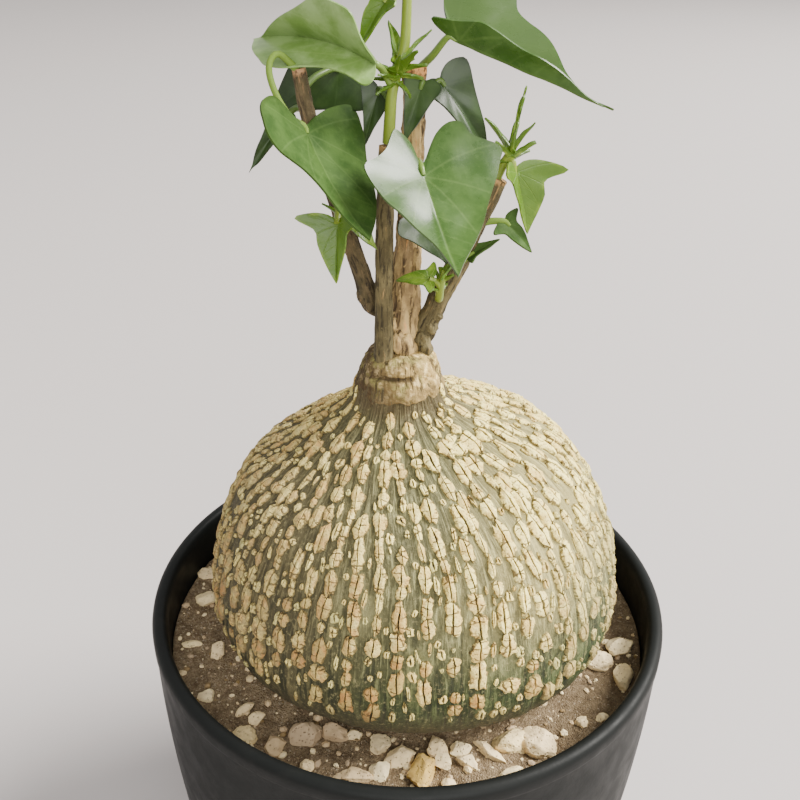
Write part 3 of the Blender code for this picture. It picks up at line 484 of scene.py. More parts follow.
def bent_grid(columns, rows, put):
    """A grid bent into shape. put(across, along) gives a corner's place, its lie and its tone.

    The lie is where the corner would be on the flat or straightened piece, for patterns that follow it."""
    bm = bmesh.new()
    bmesh.ops.create_grid(bm, x_segments=columns, y_segments=rows, size=0.5)
    lie = bm.verts.layers.float_vector.new("lie")
    tone = bm.verts.layers.float.new("tone")
    for vert in bm.verts:
        place, flat, shade = put(vert.co.x + 0.5, vert.co.y + 0.5)
        vert.co = place
        vert[lie] = flat
        vert[tone] = shade
    bmesh.ops.remove_doubles(bm, verts=bm.verts, dist=2e-6)
    bmesh.ops.recalc_face_normals(bm, faces=bm.faces)
    return bm


SKIN_FIBRE = 0.00045
SKIN_SWELL = 0.0003
SKIN_DEPTH = 0.0001


def skin_put(across, along):
    turn = across * 2 * math.pi
    run = float(np.interp(along, (0.0, 0.80, 1.0), (0.0, FOOT + 0.014, gone[-1])))
    round_it = Vector((math.cos(turn), math.sin(turn), 0.0))
    flat = round_it * 0.065 + Vector((0, 0, run))
    fibre = noise.fractal(Vector((flat.x * 420, flat.y * 420, flat.z * 90)), 0.7, 2.0, 3)
    swell = noise.noise(Vector((flat.x * 60, flat.y * 60, flat.z * 45)))
    fade = ease(run, 0.0, 0.012) * (1 - ease(run, FOOT, FOOT + 0.02))
    lift = fade * (SKIN_FIBRE * fibre + SKIN_SWELL * swell) - SKIN_DEPTH
    return on_caudex(turn, run, lift), flat, 0.0


fibre_effect, takes, gives = effect(
    "fibres", {"Lie": "Vector", "Scale": "Float", "Squeeze": "Float"}, ["Fibre"])
shortened = add("CombineXYZ", {0: 1.0, 1: 1.0, 2: takes["Squeeze"]}).outputs[0]
drawn = add("VectorMath", {0: takes["Lie"], 1: shortened}, operation="MULTIPLY").outputs[0]
feed(gives, "Fibre", cloudy(drawn, takes["Scale"], 5, 0.62, 0.35))


def fibrous(lie, scale, squeeze):
    """Fibres that run lengthwise, longer the smaller the squeeze is."""
    feeds = {"Lie": lie, "Scale": scale, "Squeeze": squeeze}
    return add("Group", feeds, node_tree=fibre_effect).outputs["Fibre"]


foot_effect, takes, gives = effect("foot_height", {"Place": "Vector"}, ["Height"])
_, y, z = axes(takes["Place"])
feed(gives, "Height", sums("ADD", z, times(sums("MINIMUM", sums("ADD", y, 0.03), 0.0), 0.36)))


def foot_height(place):
    """How high a point lies, less what the soil's line on the caudex drops by towards the front."""
    return add("Group", {"Place": place}, node_tree=foot_effect).outputs["Height"]


caudex_skin, shader, place = finish_for("caudex_skin", 0.75, 0.3)
lie = kept(shader, "lie", "Vector")
x, _, z = axes(place)
fibres = fibrous(lie, 950, 0.14)
threads = fibrous(lie, 560, 0.10)
blotches = fibrous(lie, 80, 0.45)
_, crumbs = patches(place, 900, 0.3, 0.7)
# The skin goes deeper green low down and browner on the left; these are its own colours, made darker as painted
# shade on the sides away from the key light.
low = between(z, 0.184, 0.141)
left = between(x, 0.006, -0.040)
right = between(x, 0.002, 0.042)
# Painted light: the skin is paler on its upper right, which faces the key light.
lit_upper_right = times(right, between(z, 0.156, 0.188))
# Dark threads and crumbs grow denser lower down, partly as painted shade.
darker = between(z, 0.192, 0.140, 0.40, 1.0)
# Darker brown patches on the skin towards the foot.
foot_patches = times(between(foot_height(place), 0.142, 0.127), between(blotches, 0.1, 0.5))
green = layered((0.094, 0.088, 0.036), (low, (0.012, 0.027, 0.005)),
                (times(left, 0.75), (0.056, 0.041, 0.018)), (lit_upper_right, (0.29, 0.245, 0.095)))
sage = layered((0.30, 0.285, 0.125), (low, (0.055, 0.078, 0.022)),
               (left, (0.130, 0.106, 0.046)), (lit_upper_right, (0.44, 0.385, 0.165)))
# The neck's brown band is paler on the right, partly as painted light from the key.
neck_brown = blended(right, (0.085, 0.055, 0.024), (0.26, 0.19, 0.08))
painted(shader, green,
        (between(fibres, 0.50, 0.62, 0.0, 0.85), sage),
        (between(blotches, 0.52, 0.68, 0.0, 0.65), sage),
        (between(z, 0.2085, 0.2160, 0.0, 0.7), neck_brown),
        (times(between(threads, 0.50, 0.40, 0.0, 0.85), darker), (0.010, 0.012, 0.004)),
        (times(foot_patches, 0.85), (0.078, 0.065, 0.034)),
        (between(crumbs, 0.54, 0.68, 0.0, 0.50), (0.24, 0.21, 0.095)),
        (times(between(crumbs, 0.46, 0.34, 0.0, 0.60), darker), (0.016, 0.018, 0.007)))
rough = sums("ADD", times(threads, 1.5), times(crumbs, 0.8))
relief(shader, sums("ADD", fibres, rough), 0.75, 0.0009)
put_up("caudex_skin", bent_grid(330, 200, skin_put), caudex_skin, "caudex_cork", "caudex", sharp=70)

# Corky plaques stud the skin in strings from neck to foot, each split lengthwise where it grew.
# New strings start between the old ones as the globe widens, and small warts fill what is left.
FAMILIES = 18
STRING_STARTS = (0.0132, 0.0230, 0.0380)
WIDE_GAP, MIDDLE_GAP, NARROW_GAP = (2 * math.pi / FAMILIES / strings for strings in (1, 2, 3))
PLAQUE_ACROSS = (-1.0, -0.84, -0.46, -0.12, 0.0, 0.12, 0.46, 0.84, 1.0)
PLAQUE_ALONG = (-1.0, -0.82, -0.48, -0.16, 0.16, 0.48, 0.82, 1.0)
WART_LINES = (-1.0, -0.68, -0.24, 0.0, 0.24, 0.68, 1.0)
WART_TRIES = 6500


def corky(specs, across, along, crack_reach):
    """Plaques on the skin, from specs of (turn, run, length, width, lift, skew, tone, seed)."""
    bm = bmesh.new()
    bmesh.ops.create_grid(bm, x_segments=len(across) - 1, y_segments=len(along) - 1, size=0.5)
    bmesh.ops.contextual_create(bm, geom=[edge for edge in bm.edges if edge.is_boundary])
    pattern = bpy.data.meshes.new("pattern")
    bm.to_mesh(pattern)
    bm.clear()
    lie = bm.verts.layers.float_vector.new("lie")
    tone = bm.verts.layers.float.new("tone")
    crack = bm.verts.layers.float.new("crack")
    for _ in specs:
        bm.from_mesh(pattern)
    each = len(pattern.vertices)
    for index, vert in enumerate(bm.verts):
        turn, run, length, width, lift, skew, shade, seed = specs[index // each]
        column = round((vert.co.x + 0.5) * (len(across) - 1))
        row = round((vert.co.y + 0.5) * (len(along) - 1))
        u, v = across[column], along[row]
        border = max(abs(u), abs(v))
        whim = [noise.noise(Vector((seed, k * 7.3, 0.5))) for k in range(4)]
        a, b = u * math.sqrt(1 - 0.30 * v * v), v * math.sqrt(1 - 0.30 * u * u)
        pointed = 0.34 * (1 - ease(run, NECK + 0.020, NECK + 0.062))
        taper = 0.30 + pointed + 0.7 * (whim[0] if v > 0 else whim[1])
        ragged = noise.noise(Vector((a * 1.7, b * 1.7, seed)))
        jag = noise.noise(Vector((a * 5.5, b * 5.5, seed + 50)))
        a *= (1 - max(taper, 0.0) * abs(b) ** 1.4) * (1 + 0.42 * ragged + 0.46 * jag * abs(u))
        b *= 1 + 0.34 * noise.noise(Vector((b * 1.5, a * 2.2, seed + 9))) + 0.28 * jag * abs(v)
        b += 0.34 * whim[2] * u
        a += 0.18 * noise.noise(Vector((0.0, b * 1.8, seed + 20))) * (1 - abs(u))
        if border == 1.0:
            high, split = -0.00035, 0.42
        else:
            high = lift * (1.0 - 0.34 * border**2)
            uneven = noise.noise(Vector((a * 3, b * 3, seed + 30)))
            high *= 1 + 0.45 * uneven + 0.15 * (whim[3] if u > 0 else -whim[3])
            split = 0.10 if border > 0.8 else 0.0
            if border > 0.8:
                high *= 0.78
            if u == 0.0 and abs(v) < crack_reach:
                high = -0.00015 + 0.30 * high * abs(v)
                split = 1.0
        x = a * width * 0.5
        y = b * length * 0.5
        x, y = x - y * skew, y + x * skew
        radius = max(girth(run + y), 0.006)
        vert.co = on_caudex(turn + x / radius, run + y, high)
        vert[lie] = (x * 1000 + 17 * seed, y * 1000 + 31 * seed, seed)
        vert[tone] = shade
        vert[crack] = split
    bmesh.ops.recalc_face_normals(bm, faces=bm.faces)
    return bm


cork, shader, place = finish_for("caudex_cork", 0.84, 0.25)
lie = kept(shader, "lie", "Vector")
tone = kept(shader, "tone")
crack = kept(shader, "crack")
_, mottle = patches(place, 330, 0.35, 0.65)
_, crumb = patches(place, 720, 0.35, 0.65)
_, grain = patches(place, 1500, 0.3, 0.7)
shift = add("TexNoise", {"Vector": lie, "Scale": 0.8, "Detail": 3.0}).outputs["Color"]
warped = add("VectorMath", {0: lie, 1: shift}, operation="ADD").outputs[0]
flat = add("Mapping", {"Vector": warped, "Scale": (0.16, 0.40, 0.0)}).outputs[0]
crazed = add("TexVoronoi", {"Vector": flat, "Scale": 1.0}, feature="DISTANCE_TO_EDGE",
             voronoi_dimensions="2D").outputs["Distance"]
some = between(cloudy(lie, 0.45, 2, 0.5), 0.46, 0.58)
seams = times(between(crazed, 0.075, 0.020, 0.0, 0.85), some)
warm = between(cloudy(lie, 0.32, 2, 0.5), 0.42, 0.62)
peach = blended(warm, (0.385, 0.255, 0.070), (0.400, 0.190, 0.050))
cream = blended(warm, (0.92, 0.785, 0.265), (0.78, 0.610, 0.190))
pale_share = times(between(mottle, 0.50, 0.68), between(tone, 0.0, 0.8, 0.15, 0.50))
frayed = sums("ADD", crack, times(sums("SUBTRACT", 0.5, crumb), 1.1))
frayed = sums("ADD", frayed, times(sums("SUBTRACT", 0.5, grain), 0.6))
x, _, z = axes(place)
# Grime and painted shade: plaques on the left, away from the key light, are darkened in patches.
grime_and_left_shade = times(between(x, 0.004, -0.052), between(crumb, 0.38, 0.60, 0.15, 0.70))
# Painted shade: lower plaques on the right, where the key light falls strongest, are dulled to grey olive.
right_side_shade = times(between(x, 0.026, 0.058), between(z, 0.196, 0.170, 0.0, 0.60))
painted(shader, peach,
        (tone, cream),
        (between(tone, 1.0, 1.2, 0.0, 0.65), (0.40, 0.40, 0.15)),
        (pale_share, (0.92, 0.83, 0.36)),
        (between(grain, 0.48, 0.34, 0.0, 0.75), (0.27, 0.165, 0.050)),
        (seams, (0.085, 0.045, 0.014)),
        (between(frayed, 0.14, 0.28, 0.0, 0.85), (0.115, 0.083, 0.028)),
        (between(crack, 0.45, 0.85), (0.040, 0.025, 0.009)),
        (grime_and_left_shade, (0.180, 0.148, 0.080)),
        (right_side_shade, (0.27, 0.245, 0.105)),
        (between(foot_height(place), 0.142, 0.129, 0.0, 0.80), (0.095, 0.072, 0.036)))
height = sums("SUBTRACT", sums("ADD", crumb, times(grain, 0.6)), seams)
relief(shader, height, 0.9, 0.0007)

# How far short of the foot the plaques and the warts end
PLAQUES_END, WARTS_END = 0.0140, 0.0105

draw = random.Random(19)
rising = slice(0, int(np.argmax(meridian[:, 0])))
plaques = []
for family in range(FAMILIES):
    for member, start in enumerate(STRING_STARTS):
        run = float(np.interp(start + draw.uniform(-0.0015, 0.0025), meridian[rising, 0], gone[rising]))
        nudge, sway = draw.uniform(-0.13, 0.13), draw.uniform(0, 100)
        while run < FOOT - PLAQUES_END - 0.0130 * max(-math.sin(family * WIDE_GAP), 0.0):
            radius = girth(run)
            widened = ease(radius, 0.022, 0.032), ease(radius, 0.038, 0.052)
            gap = WIDE_GAP + (MIDDLE_GAP - WIDE_GAP) * widened[0] + (NARROW_GAP - MIDDLE_GAP) * widened[1]
            beside = member * NARROW_GAP
            if member == 1:
                beside = MIDDLE_GAP + (NARROW_GAP - MIDDLE_GAP) * widened[1]
            turn = family * WIDE_GAP + beside
            turn += gap * (nudge + 0.20 * noise.noise(Vector((run * 45, sway, 0))))
            room = gap * radius
            # Painted light: plaques facing the key light on the right get a paler tone and a little more width.
            lit_side = max(math.cos(turn + 0.35), 0.0) * (1 - ease(run, NECK + 0.055, FOOT - 0.010))
            deep = ease(run, NECK + 0.045, FOOT - 0.012)
            near_neck = 1 - ease(run, NECK + 0.002, NECK + 0.022)
            small = draw.random() < 0.32
            length = draw.uniform(0.0058, 0.0108) * (1 - 0.24 * deep) * (1 - 0.30 * near_neck)
            length *= 0.62 if small else 1.0
            width = min(room * (draw.uniform(0.46, 0.80) + 0.16 * deep), 0.0074, 0.0028 + 0.15 * (run - NECK))
            width *= 0.92 + 0.22 * lit_side - (0.32 if small else 0.0)
            lift = (0.00055 + 0.00065 * min(width / 0.006, 1.0)) * draw.uniform(0.8, 1.15)
            # Painted light and shade: the tone rises on the lit side and falls towards the foot, where it also
            # gives the cork's own peach, with random variation besides.
            shade = 0.46 + 0.55 * lit_side - 0.50 * deep + draw.uniform(-0.24, 0.24)
            bare = 0.04 + deep * (0.20 + 0.30 * max(math.cos(turn + 0.2), 0.0))
            if draw.random() > bare:
                plaques.append((turn, run + length / 2, length, width, lift, draw.uniform(-0.12, 0.12),
                                min(max(shade, 0.0), 1.0), draw.uniform(0, 400)))
            run += length * draw.uniform(0.88, 1.0) + deep * draw.uniform(0.0, 0.0032)

warts = []
taken = np.zeros((len(plaques) + WART_TRIES, 4))
taken[:len(plaques)] = [spec[:4] for spec in plaques]
for _ in range(WART_TRIES):
    turn, run = draw.uniform(0, 2 * math.pi), draw.uniform(NECK + 0.004, FOOT - WARTS_END)
    radius = girth(run)
    if draw.random() > radius / 0.066 * (1 - 0.62 * ease(run, NECK + 0.050, FOOT - 0.012)):
        continue
    if run > FOOT - WARTS_END - 0.0105 * max(-math.sin(turn), 0.0):
        continue
    length = draw.uniform(0.0015, 0.0042)
    width = length * draw.uniform(0.60, 0.95)
    if draw.random() < 0.25:
        length, width = length * 1.6, width * 0.6
    count = len(plaques) + len(warts)
    known = taken[:count]
    apart = np.abs((known[:, 0] - turn + math.pi) % (2 * math.pi) - math.pi)
    aside = apart * radius / (0.5 * (known[:, 3] + width))
    above = np.abs(known[:, 1] - run) / (0.5 * (known[:, 2] + length))
    if np.min(aside**2 + above**2) < 1.0:
        continue
    warts.append((turn, run, length, width, 0.0006, draw.uniform(-0.25, 0.25),
                  draw.uniform(0.5, 1.2), draw.uniform(0, 400)))
    taken[count] = warts[-1][:4]
for name, specs, across, along, crack_reach in (
        ("caudex_plaques", plaques, PLAQUE_ACROSS, PLAQUE_ALONG, 0.9),
        ("caudex_warts", warts, WART_LINES, WART_LINES, 0.5)):
    put_up(name, corky(specs, across, along, crack_reach), cork, "caudex_cork", "caudex", sharp=38)

# The collar closes the caudex's neck: old bark, granular and lumpy, with a groove round part of it.
# It grew there as the first stems thickened, and the woody stems leave it.
NECK_TOP = 0.2290
COLLAR = (
    (0.0, NECK_TOP), (0.0060, 0.2289), (0.0084, 0.2284), (0.0099, 0.2272), (0.0108, 0.2256), (0.0114, 0.2240),
    (0.0121, 0.2226), (0.0126, 0.2210), (0.0129, 0.2196), (0.0130, 0.2182), (0.0122, 0.2168), (0.0, 0.2160),
)
GROOVE_Z = 0.2239
GROOVE_FROM, GROOVE_TO = math.radians(-132), math.radians(-70)
collar_line = np.array(smooth_path(COLLAR, 10))
collar_gone = run_along(collar_line)


def collar_put(across, along):
    turn = across * 2 * math.pi - math.pi
    run = along * collar_gone[-1]
    radius, z = (float(np.interp(run, collar_gone, collar_line[:, k])) for k in (0, 1))
    around = Vector((math.cos(turn), math.sin(turn), 0.0))
    flat = around * 0.012 + Vector((0, 0, run))
    lump = 0.0010 * noise.noise(Vector((around.x * 2.5, around.y * 2.5, z * 225)))
    lump += 0.00045 * noise.fractal(Vector((flat.x * 620, flat.y * 620, z * 380)), 0.6, 2.0, 4)
    carved = ease(turn, GROOVE_FROM - 0.2, GROOVE_FROM + 0.2)
    carved *= 1 - ease(turn, GROOVE_TO - 0.25, GROOVE_TO + 0.25)
    wander = 0.0004 * noise.noise(Vector((turn * 3, 0, 5)))
    lump -= 0.0012 * carved * math.exp(-((z - GROOVE_Z - wander) / 0.00045) ** 2)
    lump *= ease(radius, 0.0, 0.006) * ease(run, 0.0, 0.004)
    ragged = 0.0022 * noise.noise(Vector((around.x * 5.5, around.y * 5.5, 3.0)))
    ragged *= ease(0.2215 - z, 0.0, 0.003)
    return caudex_point(turn, max(radius + lump, 0.0), z + ragged), flat, 0.0


collar_bark, shader, place = finish_for("collar_bark", 0.88, 0.22)
lie = kept(shader, "lie", "Vector")
x, y, z = axes(place)
scabs, scab_cloud = patches(place, 480, 0.50, 0.64, 0.9)
lumps, _ = patches(place, 150, 0.50, 0.62, 0.75)
fissures = fibrous(lie, 750, 0.25)
# Partly the bark's own colours and partly painted light: the collar goes from dark brown on the left to tan on the
# right, where the key light falls.
to_right = between(x, -0.015, 0.004)
# Painted shade: the groove's crease is darkened where it shows at the front.
groove = times(between(z, 0.2228, 0.2236), between(z, 0.2252, 0.2243))
in_front = times(between(y, -0.009, -0.0115), between(x, 0.002, -0.001, 0.0, 0.8))
brown = blended(to_right, (0.065, 0.042, 0.020), (0.17, 0.115, 0.045))
painted(shader, (0.072, 0.048, 0.022),
        (to_right, (0.34, 0.235, 0.080)),
        (lumps, (0.22, 0.195, 0.058)),
        (scabs, blended(to_right, (0.24, 0.18, 0.090), (0.68, 0.51, 0.22))),
        (between(fissures, 0.47, 0.36, 0.0, 0.9), (0.032, 0.020, 0.008)),
        (between(scab_cloud, 0.46, 0.34, 0.0, 0.8), (0.050, 0.032, 0.014)),
        (between(z, 0.2225, 0.2200, 0.0, 0.55), brown),
        (times(groove, in_front), (0.030, 0.019, 0.009)))
relief(shader, sums("ADD", scab_cloud, fissures), 0.9, 0.0010)
put_up("caudex_collar", bent_grid(150, 90, collar_put), collar_bark, "caudex_cork", "caudex", sharp=60)

# The woody stems: a sawn-off old trunk, and three younger stems that were cut back.
# They are tapering rods of fissured bark, grown into the collar and into each other.
TRUNK = (
    (-0.0035, 0.0010, 0.2272, 0.0066), (-0.0033, 0.0014, 0.2345, 0.0056), (-0.0030, 0.0020, 0.2430, 0.0047),
    (-0.0022, 0.0020, 0.2580, 0.0038), (-0.0013, 0.0020, 0.2818, 0.0029), (-0.0013, 0.0020, 0.2960, 0.0029),
    (-0.0012, 0.0020, 0.3070, 0.0033),
)
FRONT_STEM = (
    (-0.0084, -0.0062, 0.2262, 0.0029), (-0.0085, -0.0066, 0.2460, 0.0025), (-0.0085, -0.0064, 0.2690, 0.0024),
    (-0.0078, -0.0060, 0.2885, 0.0023),
)
LEFT_BRANCH = (
    (-0.0060, 0.0015, 0.2400, 0.0022), (-0.0105, -0.0002, 0.2412, 0.0029), (-0.0130, -0.0012, 0.2450, 0.0030),
    (-0.0154, -0.0025, 0.2536, 0.0025), (-0.0182, -0.0040, 0.2625, 0.0024), (-0.0214, -0.0060, 0.2741, 0.0022),
    (-0.0271, -0.0085, 0.2935, 0.0019), (-0.0297, -0.0095, 0.3077, 0.0018),
)
RIGHT_BRANCH = (
    (-0.0010, 0.0016, 0.2330, 0.0026), (0.0022, 0.0010, 0.2330, 0.0036), (0.0051, 0.0003, 0.2395, 0.0032),
    (0.0080, -0.0010, 0.2474, 0.0030), (0.0110, -0.0020, 0.2544, 0.0029), (0.0160, -0.0030, 0.2672, 0.0027),
    (0.0212, -0.0030, 0.2800, 0.0025),
)
# Burrs where the stems part, as (x, y, z), then radius and half height
BURRS = {
    "trunk": (
        (-0.0044, -0.0050, 0.2325, 0.0018, 0.0036), (-0.0062, -0.0040, 0.2372, 0.0013, 0.0024),
        (-0.0022, -0.0040, 0.2312, 0.0024, 0.0040), (0.0004, -0.0014, 0.2560, 0.0011, 0.0040),
        (-0.0042, -0.0014, 0.2470, 0.0012, 0.0044),
    ),
    "right_branch": (
        (0.0024, -0.0012, 0.2325, 0.0028, 0.0030), (0.0050, -0.0014, 0.2362, 0.0022, 0.0022),
        (0.0036, -0.0022, 0.2296, 0.0022, 0.0024), (0.0066, -0.0012, 0.2396, 0.0018, 0.0018),
        (0.0212, -0.0034, 0.2778, 0.0017, 0.0020),
    ),
    "left_branch": (
        (-0.0124, -0.0022, 0.2428, 0.0023, 0.0020), (-0.0143, -0.0018, 0.2456, 0.0022, 0.0024),
        (-0.0205, -0.0060, 0.2712, 0.0016, 0.0020),
    ),
}


def rod(route, sides, rows, knobbly=0.0, seed=0.0):
    """A round stem along (x, y, z, radius) points, closed at both ends, with its bark's ridges."""
    path = np.array(smooth_path(route, 8))
    far = run_along(path[:, :3])
    side = Vector((1, 0, 0))
    frames = []
    for row in range(rows + 1):
        at = row / rows * far[-1]
        place, ahead, behind = (Vector([float(np.interp(at + step, far, path[:, k])) for k in range(3)])
                                for step in (0.0, 0.0008, -0.0008))
        along = (ahead - behind).normalized()
        side = (side - along * side.dot(along)).normalized()
        frames.append((place, side.copy(), along.cross(side), float(np.interp(at, far, path[:, 3])), at))

    def put(across, along):
        turn = across * 2 * math.pi
        place, side, up, radius, at = frames[round(along * rows)]
        flat = Vector((math.cos(turn) * radius, math.sin(turn) * radius, at))
        ridge = noise.fractal(Vector((flat.x * 800, flat.y * 800, flat.z * 150 + seed)), 0.6, 2.0, 3)
        lump = noise.noise(Vector((flat.x * 160, flat.y * 160, flat.z * 110 + seed)))
        out = radius + knobbly * (0.8 * ridge + 0.7 * lump)
        return place + out * (side * math.cos(turn) + up * math.sin(turn)), flat, at / far[-1]

    bm = bent_grid(sides, rows, put)
    bmesh.ops.holes_fill(bm, edges=[edge for edge in bm.edges if edge.is_boundary], sides=0)
    bmesh.ops.recalc_face_normals(bm, faces=bm.faces)
    return bm


def burrs(spots):
    """Rough rounded lumps of bark that stand half out of the stems."""
    bm = bmesh.new()
    lie = bm.verts.layers.float_vector.new("lie")
    tone = bm.verts.layers.float.new("tone")
    for x, y, z, across, tall in spots:
        lump = bmesh.ops.create_icosphere(bm, subdivisions=4, radius=1.0)
        for vert in lump["verts"]:
            rough = 1 + 0.24 * noise.noise(vert.co * 1.6 + Vector((x, y, z)) * 3000)
            rough += 0.09 * noise.fractal(vert.co * 4.0 + Vector((x, y, z)) * 3000, 0.6, 2.0, 3)
            vert.co = Vector((x + vert.co.x * across * rough, y + vert.co.y * across * rough,
                              z + vert.co.z * tall * rough))
            vert[lie] = vert.co
            vert[tone] = 0.5
    return bm


def bark_finish(name, base, pale, dark, end_colour, end_from, ridge_scale=700):
    """Bark with lengthwise fissures, and with a dry orange-brown cut end past end_from."""
    made, shader, place = finish_for(name, 0.84, 0.25)
    lie = kept(shader, "lie", "Vector")
    tone = kept(shader, "tone")
    fibres = fibrous(lie, ridge_scale, 0.16)
    stains = fibrous(lie, 190, 0.45)
    flecks, fleck_cloud = patches(place, 620, 0.58, 0.70, 0.75)
    cut = blended(between(fleck_cloud, 0.45, 0.62), end_colour, dark)
    painted(shader, base,
            (between(stains, 0.40, 0.62), pale),
            (between(fibres, 0.50, 0.36, 0.0, 0.95), dark),
            (flecks, pale),
            (between(fibres, 0.60, 0.72, 0.0, 0.6), end_colour),
            (between(tone, end_from, min(end_from + 0.03, 1.0)), cut))
    relief(shader, sums("ADD", fibres, times(fleck_cloud, 0.6)), 0.85, 0.0009)
    return made


trunk_bark = bark_finish("trunk_bark", (0.20, 0.134, 0.060), (0.46, 0.325, 0.130), (0.045, 0.028, 0.013),
                         (0.62, 0.30, 0.10), 0.955)
stem_bark = bark_finish("stem_bark", (0.068, 0.054, 0.023), (0.132, 0.106, 0.046), (0.026, 0.020, 0.009),
                        (0.40, 0.24, 0.09), 0.965, 1100)
branch_bark = bark_finish("branch_bark", (0.052, 0.041, 0.018), (0.105, 0.076, 0.036), (0.022, 0.016, 0.008),
                          (0.34, 0.19, 0.09), 0.965, 1000)
# Each stem's bark, slot and route, then the sides, rows, knobs and seed of its rod
STEMS = {
    "trunk": (trunk_bark, "old_wood", TRUNK, 48, 190, 0.0007, 3),
    "front_stem": (stem_bark, "olive_wood", FRONT_STEM, 30, 120, 0.00028, 9),
    "left_branch": (branch_bark, "olive_wood", LEFT_BRANCH, 30, 130, 0.00034, 17),
    "right_branch": (stem_bark, "olive_wood", RIGHT_BRANCH, 30, 110, 0.00040, 31),
}
for node, (bark, slot, *shape) in STEMS.items():
    put_up(node + "_bark", rod(*shape), bark, slot, node, sharp=50)
for node, spots in BURRS.items():
    bark, slot, *_ = STEMS[node]
    put_up(node + "_burrs", burrs(spots), bark, slot, node, sharp=60)

# The leaves are ivy-shaped blades of thin waxy tissue, each folded and arched a little along its midrib.
# Veins spread from the heart, where a green stalk carries the blade off its stem.
LEAF_HALF = ((-0.20, 0.11), (-0.32, 0.29), (-0.22, 0.48), (0.02, 0.60), (0.22, 0.45), (0.45, 0.31),
             (0.70, 0.16), (0.88, 0.05))
SMALL_HALF = ((-0.13, 0.12), (-0.16, 0.30), (-0.05, 0.57), (0.03, 0.58), (0.17, 0.31), (0.38, 0.27),
              (0.64, 0.17))
LEAF_HEART = 0.07
LEAF_THICK = 0.00045
LEAF_WAVES = 0.012
# Columns across a blade and rows from its midrib to its edge
FINE_GRID, LEAF_GRID, YOUNG_GRID, SPIKE_GRID = (130, 24), (72, 12), (48, 8), (20, 5)
VEIN_ANGLES = (0.62, 1.25, 2.05)
VEIN_BEND = 0.35
SIDE_VEIN_SLANT = 0.75
SIDE_VEIN_STEP = 0.075


def aim(heading, dive):
    return Vector((math.cos(dive) * math.cos(heading), math.cos(dive) * math.sin(heading), math.sin(dive)))


def blade(base, heading, dive, bank, length, folds=(20, 20), rolls=(0, 0), arch=0.15, widths=(1, 1),
          lobe=1.0, side=0.0, sweep=0.0, small=False, grid=LEAF_GRID, halves=None):
    """A thin blade. Heading and dive aim its tip and bank rolls it, all in degrees.

    Folds raise its two halves from the midrib, and rolls bend them back over their width."""
    half = SMALL_HALF if small else LEAF_HALF
    plain = [(x * lobe if x < 0 else x, y) for x, y in half] + [(1.0, 0.0)]
    edges = []
    for outline, wide in zip(halves or (plain, plain), widths):
        edge = np.array(smooth_path([(0.0, 0.0)] + [(x, y * wide) for x, y in outline], 10))
        edges.append((edge, run_along(edge) / run_along(edge)[-1]))
    seed = (base[0] * 7000 + base[2] * 3000) % 100
    heading, dive, bank = (math.radians(a) for a in (heading, dive, bank))
    tip = aim(heading, dive)
    level = Vector((-math.sin(heading), math.cos(heading), 0.0))
    upright = tip.cross(level)
    across_leaf = level * math.cos(bank) + upright * math.sin(bank)
    up = upright * math.cos(bank) - level * math.sin(bank)

    def put(across, along):
        half = 0 if across <= 0.5 else 1
        edge, gone_by = edges[half]
        share = across * 2 if half == 0 else (1 - across) * 2
        ex, ey = (float(np.interp(share, gone_by, edge[:, k])) for k in (0, 1))
        x = LEAF_HEART + along * (ex - LEAF_HEART)
        far = along * ey
        y = far if half == 0 else -far
        flat = Vector((x, y, seed))
        x += sweep * max(y, 0.0)
        fold = math.radians(folds[half])
        roll = math.radians(rolls[half]) or 1e-5
        rise = (math.cos(fold) - math.cos(fold + roll * far)) / roll
        wide = (math.sin(fold + roll * far) - math.sin(fold)) / roll
        turn = 2 * arch * x
        forward = math.sin(turn) / (2 * arch) if arch else x
        drop = (1 - math.cos(turn)) / (2 * arch) if arch else 0.0
        ripple = LEAF_WAVES * along**2 * math.sin(share * 17 + seed)
        ripple += 0.8 * LEAF_WAVES * noise.noise(Vector((x * 5, y * 5, seed)))
        out = Vector((
            forward + rise * math.sin(turn),
            (wide if half == 0 else -wide) + side * max(x, 0.0) ** 2,
            rise * math.cos(turn) - drop + ripple,
        ))
        return Vector(base) + length * (tip * out.x + across_leaf * out.y + up * out.z), flat, 0.0

    bm = bent_grid(*grid, put)
    flat_count = len(bm.verts)
    bmesh.ops.solidify(bm, geom=bm.faces[:], thickness=LEAF_THICK)
    bm.verts.ensure_lookup_table()
    shifted = sum((bm.verts[flat_count + k].co - bm.verts[k].co).dot(up) for k in range(0, flat_count, 5))
    under = bm.verts[flat_count:] if shifted < 0 else bm.verts[:flat_count]
    tone = bm.verts.layers.float["tone"]
    for vert in under:
        vert[tone] = 1.0
    bmesh.ops.recalc_face_normals(bm, faces=bm.faces)
    return bm


def stalk(route, sides=10, rows=24):
    bm = rod(route, sides, rows)
    lie, tone = bm.verts.layers.float_vector["lie"], bm.verts.layers.float["tone"]
    for vert in bm.verts:
        vert[lie] = (-2.0, 0.3, vert[tone])
        vert[tone] = 0.0
    return bm


def gathered(pieces):
    """One mesh of several, each moved over whole with its lie."""
    whole = bmesh.new()
    for bm in pieces:
        mesh = bpy.data.meshes.new("part")
        bm.to_mesh(mesh)
        bm.free()
        whole.from_mesh(mesh)
        bpy.data.meshes.remove(mesh)
    return whole


